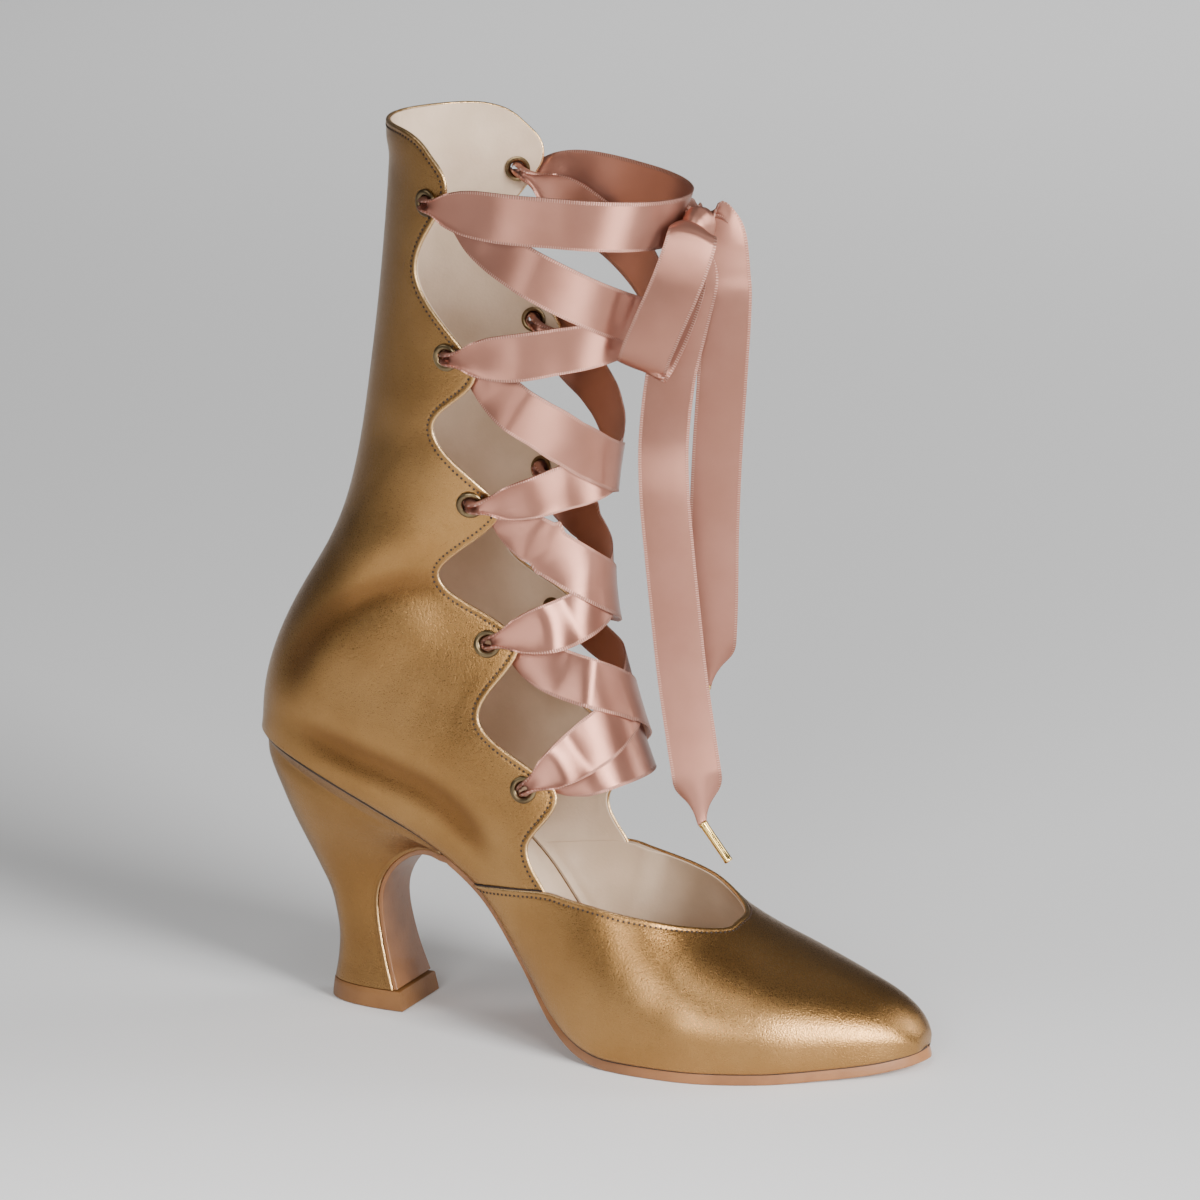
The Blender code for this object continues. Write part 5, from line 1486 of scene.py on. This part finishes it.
# %% Lacing routes
CROSS_HEIGHTS, BAR_HEIGHT, TOP_HEIGHT = (114.0, 150.0, 191.0, 237.0), 97.0, 268.0
LACE_OUTSIDE, LACE_FRONT, LACE_INSIDE, LACE_OVER, BAR_RISE = 1.4, -0.8, -3.2, 0.36, 0.6
LACE_TURNS, LACE_SLOPE = (0.12, 0.77), 0.11
HOLE_PATHS = {"out": ((1.5, 4.6), (-3.0, 1.95), 1.0), "in": ((1.2, 4.6), (-1.2, -3.5), -1.0)}
HOLE_RAMP = 9.0


def climb(start, middle, end, g):
    """Stations of an even climb round the shaft through three places (s, g), for each g.

    The climb is measured along an axis that leans so that the middle is halfway up.
    """
    ends = skin(*np.array([start, middle, end]).T)
    off = ends[1] - (ends[0] + ends[2]) / 2
    lean = -off[2] / off[0]
    height = ends[:, 2] + lean * ends[:, 0]
    s = np.linspace(THROAT, LAST_TOP, 1201)[:, None]
    columns = skin(s, g)
    columns = (columns[..., 2] + lean * columns[..., 0]).T
    share = np.linspace(0.0, 1.0, len(g))
    for _ in range(4):
        wanted = between(height[0], height[2], share)
        stations = np.array([np.interp(w, column, s[:, 0]) for w, column in zip(wanted, columns)])
        length = arc_length(skin(stations, g))
        share = length / length[-1]
    return stations


def hole_path(kind):
    """Distance from the hole's middle, and height, of the ribbon's path through a hole (superellipse)."""
    (near, away), (deep, level), way = HOLE_PATHS[kind]
    turn = np.linspace(0.0, math.pi / 2, 26)
    return away - (away - near) * np.cos(turn) ** 0.5, deep + (level - deep) * np.sin(turn) ** 0.5, way


def fading(distance, run):
    """1 at no distance, and a smooth fall to 0 over a run."""
    return 1 - soft_step(distance / run)


def lace_path(length, u, kinds, offsets, over):
    """Distance along a strip's line and height over the skin, from hole to hole, and the way it curls.

    Between the holes the height steps smoothly from the start's offset to the shin's and on to the end's.
    """
    total = length[-1]
    near_a, near_h, near_way = hole_path(kinds[0])
    far_a, far_h, far_way = hole_path(kinds[1])
    open_a = np.linspace(near_a[-1], total - far_a[-1], 120)
    share = np.interp(open_a, length, u)
    leave, arrive = (soft_step((share - turn) / LACE_SLOPE) for turn in LACE_TURNS)
    open_h = offsets[0] + (offsets[1] + over - offsets[0]) * leave + (offsets[2] - offsets[1] - over) * arrive
    open_h += (near_h[-1] - offsets[0]) * fading(open_a - near_a[-1], HOLE_RAMP)
    open_h += (far_h[-1] - offsets[2]) * fading(total - far_a[-1] - open_a, HOLE_RAMP)
    a = np.concatenate([near_a[:-1], open_a, total - far_a[-2::-1]])
    h = np.concatenate([near_h[:-1], open_h, far_h[-2::-1]])
    return a, h, np.where(a < total / 2, near_way, far_way)


print("crossings at heights of", CROSS_HEIGHTS, "mm")

# %% Lacing section
OPEN_CURL, GATHER_CURL, GATHER_EASE, GATHER_START, GATHER_RUN = 0.12, 5.4, 0.45, 3.0, 27.0
NARROWING, NARROW_START, NARROW_RUN = 5.8, 5.0, 8.0
OPEN_RISE, HOLE_RISE, RISE_START, RISE_RUN = 0.34, 0.6, 3.5, 4.5


def lace_gather(nearest):
    """Curl, arc and rise of a strip's section, from the distance to the nearer hole.

    Towards a hole the ribbon curls into a gutter, is drawn narrower, and then stands up round.
    """
    gather = np.clip(1 - (nearest - GATHER_START) / GATHER_RUN, 0.0, 1.0)
    curl = OPEN_CURL + GATHER_CURL * gather * between(GATHER_EASE, 1.0, soft_step(gather))
    arc = RIBBON_WIDTH - NARROWING * fading(nearest - NARROW_START, NARROW_RUN)
    return curl, arc, OPEN_RISE + HOLE_RISE * fading(nearest - RISE_START, RISE_RUN)


def read_beyond(at, length, values):
    """Values over a running length, carried straight on beyond both of its ends."""
    rate = np.gradient(values, length)
    beyond = np.clip(at, None, 0.0) + np.clip(at - length[-1], 0.0, None)
    return np.interp(at, length, values) + beyond * np.where(at < 0, rate[0], rate[-1])


def lace_strip(name, start, height, end, offsets, over, kinds):
    """Ribbon from one eyelet (s, g) to another, past the shin at a height.

    offsets are its heights over the skin at the start, the shin and the end; kinds say for either end
    whether it leaves its hole on the outside or the inside.
    """
    u = np.linspace(0.0, 1.0, 241)
    g = between(start[1], end[1], u)
    shin = float(np.interp(height, LAST[THROAT:, 3], np.arange(THROAT, len(LAST))))
    s = climb(start, (shin, 0.0), end, g)
    line = skin(s, g)
    length = arc_length(line)
    a, h, way = lace_path(length, u, kinds, offsets, over)
    run = arc_length(np.stack([a, h], axis=1))
    aside, lift = gutter(*lace_gather(np.minimum(run, run[-1] - run)))
    slope_a, slope_h = np.gradient(a), np.gradient(h)
    lift = lift * (way / np.hypot(slope_a, slope_h))[:, None]
    a_at = a[:, None] - lift * slope_h[:, None]
    h_at = h[:, None] + lift * slope_a[:, None]
    across = unit(np.cross(np.gradient(line, axis=0), skin_normal(s, g)))
    shift = skin_steps(s, g, across)
    s_at = read_beyond(a_at, length, s) + aside * np.interp(a_at, length, shift[:, 0])
    g_at = read_beyond(a_at, length, g) + aside * np.interp(a_at, length, shift[:, 1])
    normal = skin_normal(s_at, g_at)
    return ribbon_piece(name, skin(s_at, g_at) + h_at[..., None] * normal, normal, run)


# %% Lacing strips
eyelet_s, eyelet_g = side_place(EYELETS, 1).T


def hole(k, side):
    """Place (s, g) of eyelet k, counted from the lowest, on a side."""
    return eyelet_s[k], side * eyelet_g[k]


through = (LACE_OUTSIDE, LACE_FRONT, LACE_INSIDE)
for k, height in enumerate(CROSS_HEIGHTS):
    for label, side, over in (("under", -1, -LACE_OVER), ("over", 1, LACE_OVER)):
        strip = lace_strip(f"satin_cross_{k + 1}_{label}", hole(k, side), height, hole(k + 1, -side),
                           through, over, ("out", "in"))
        on_boot(strip, "rose_ribbon", f"ribbon_cross_{k + 1}")
inside = (LACE_INSIDE, LACE_INSIDE + BAR_RISE, LACE_INSIDE)
bar = lace_strip("satin_bar", hole(0, -1), BAR_HEIGHT, hole(0, 1), inside, 0.0, ("in", "in"))
on_boot(bar, "rose_ribbon", "ribbon_bar")
outside = (LACE_OUTSIDE, LACE_FRONT, LACE_OUTSIDE)
top_strip = lace_strip("satin_top", hole(-1, -1), TOP_HEIGHT, hole(-1, 1), outside, 0.0, ("out", "out"))
on_boot(top_strip, "rose_ribbon", "ribbon_top")

# %% [markdown]
# ## Studio
# The boot stands on a pale floor that runs on far behind it; in front of the boot its colour darkens by
# painted shade. One tall soft light from the right front gives the highlight on the toe and the streaks on
# the satin. Weaker ones from the front, the left and behind open the shadows, and two that look down
# brighten the floor. The grey surroundings leave the leather's upward faces dark, as gold foil needs
# something dark to mirror.

# %% Floor
FLOOR_HALF = 6.0
# the far colour is painted shade: the floor darkens in front of the boot
PAPER_PALE, PAPER_FAR_SHADE = (0.92, 0.92, 0.92, 1.0), (0.28, 0.28, 0.28, 1.0)
PAPER_SHADE_RUN = (0.3, 1.0)    # metres in front of the boot


def floor_paper():
    """Pale paper with painted shade that darkens it slowly in front of the boot, from 0.3 m to a metre away.
    """
    material, tree, shader, place = new_material("floor_paper", PAPER_PALE[:3], 0.8)
    ahead = (math.sin(AZIMUTH), -math.cos(AZIMUTH), 0.0)
    distance = add_node(tree, "ShaderNodeVectorMath", {0: place, 1: ahead}, operation="DOT_PRODUCT")
    fade = ramp(tree, distance.outputs["Value"], *PAPER_SHADE_RUN)
    # painted shade: the floor's colour darkens with distance in front of the boot
    tree.links.new(blend_colours(tree, fade, PAPER_PALE, PAPER_FAR_SHADE), shader.inputs["Base Color"])
    return material


corners = [(x * FLOOR_HALF, y * FLOOR_HALF, 0.0) for x, y in ((-1, -1), (1, -1), (1, 1), (-1, 1))]
floor_mesh = bpy.data.meshes.new("floor")
floor_mesh.from_pydata(corners, [], [(0, 1, 2, 3)])
floor_mesh.materials.append(floor_paper())
floor = add_object("floor", floor_mesh)
print("floor", 2 * FLOOR_HALF, "m wide")

# %% Lights
LIGHTS = (    # name, azimuth, elevation, distance, width, height, watts
    ("key", 66.0, 17.0, 2.2, 0.75, 1.4, 96.0),
    ("rim", 128.0, 22.0, 2.0, 0.8, 0.8, 12.0),
    ("front", 8.0, 17.0, 2.4, 1.0, 0.9, 25.0),
    ("fill", -48.0, 34.0, 2.6, 1.4, 1.4, 10.0),
)
FLOOR_LIGHTS = (    # name, place, aim, size, watts, spread in degrees
    ("ground", (-0.4, 2.4, 2.4), (-0.4, 2.4, 0.0), 2.0, 14.0, 80.0),
    ("near", (0.3, -0.8, 1.6), (0.25, -0.6, 0.0), 0.4, 2.2, 40.0),
)
WORLD_GREY, WORLD_STRENGTH = (0.5, 0.5, 0.5, 1.0), 0.22


def soft_light(name, place, aim, width, height, energy, spread=180.0):
    """Area light at a place that looks at an aim, with its beam narrowed to a spread in degrees."""
    data = bpy.data.lights.new(name, "AREA")
    data.shape = "RECTANGLE"
    data.size = width
    data.size_y = height
    data.energy = energy
    data.spread = math.radians(spread)
    light = add_object(name, data)
    light.location = place
    look_along(light, aim - place)


for name, azimuth, elevation, distance, width, height, watts in LIGHTS:
    way = camera_back(math.radians(azimuth), math.radians(elevation))
    soft_light(name, AIM + distance * way, AIM, width, height, watts)
for name, place, aim, size, watts, spread in FLOOR_LIGHTS:
    soft_light(name, Vector(place), Vector(aim), size, size, watts, spread)
world = bpy.data.worlds.new("studio")
world.use_nodes = True
background = world.node_tree.nodes["Background"].inputs
background["Color"].default_value = WORLD_GREY
background["Strength"].default_value = WORLD_STRENGTH
bpy.context.scene.world = world
print("lights", len(LIGHTS) + len(FLOOR_LIGHTS))
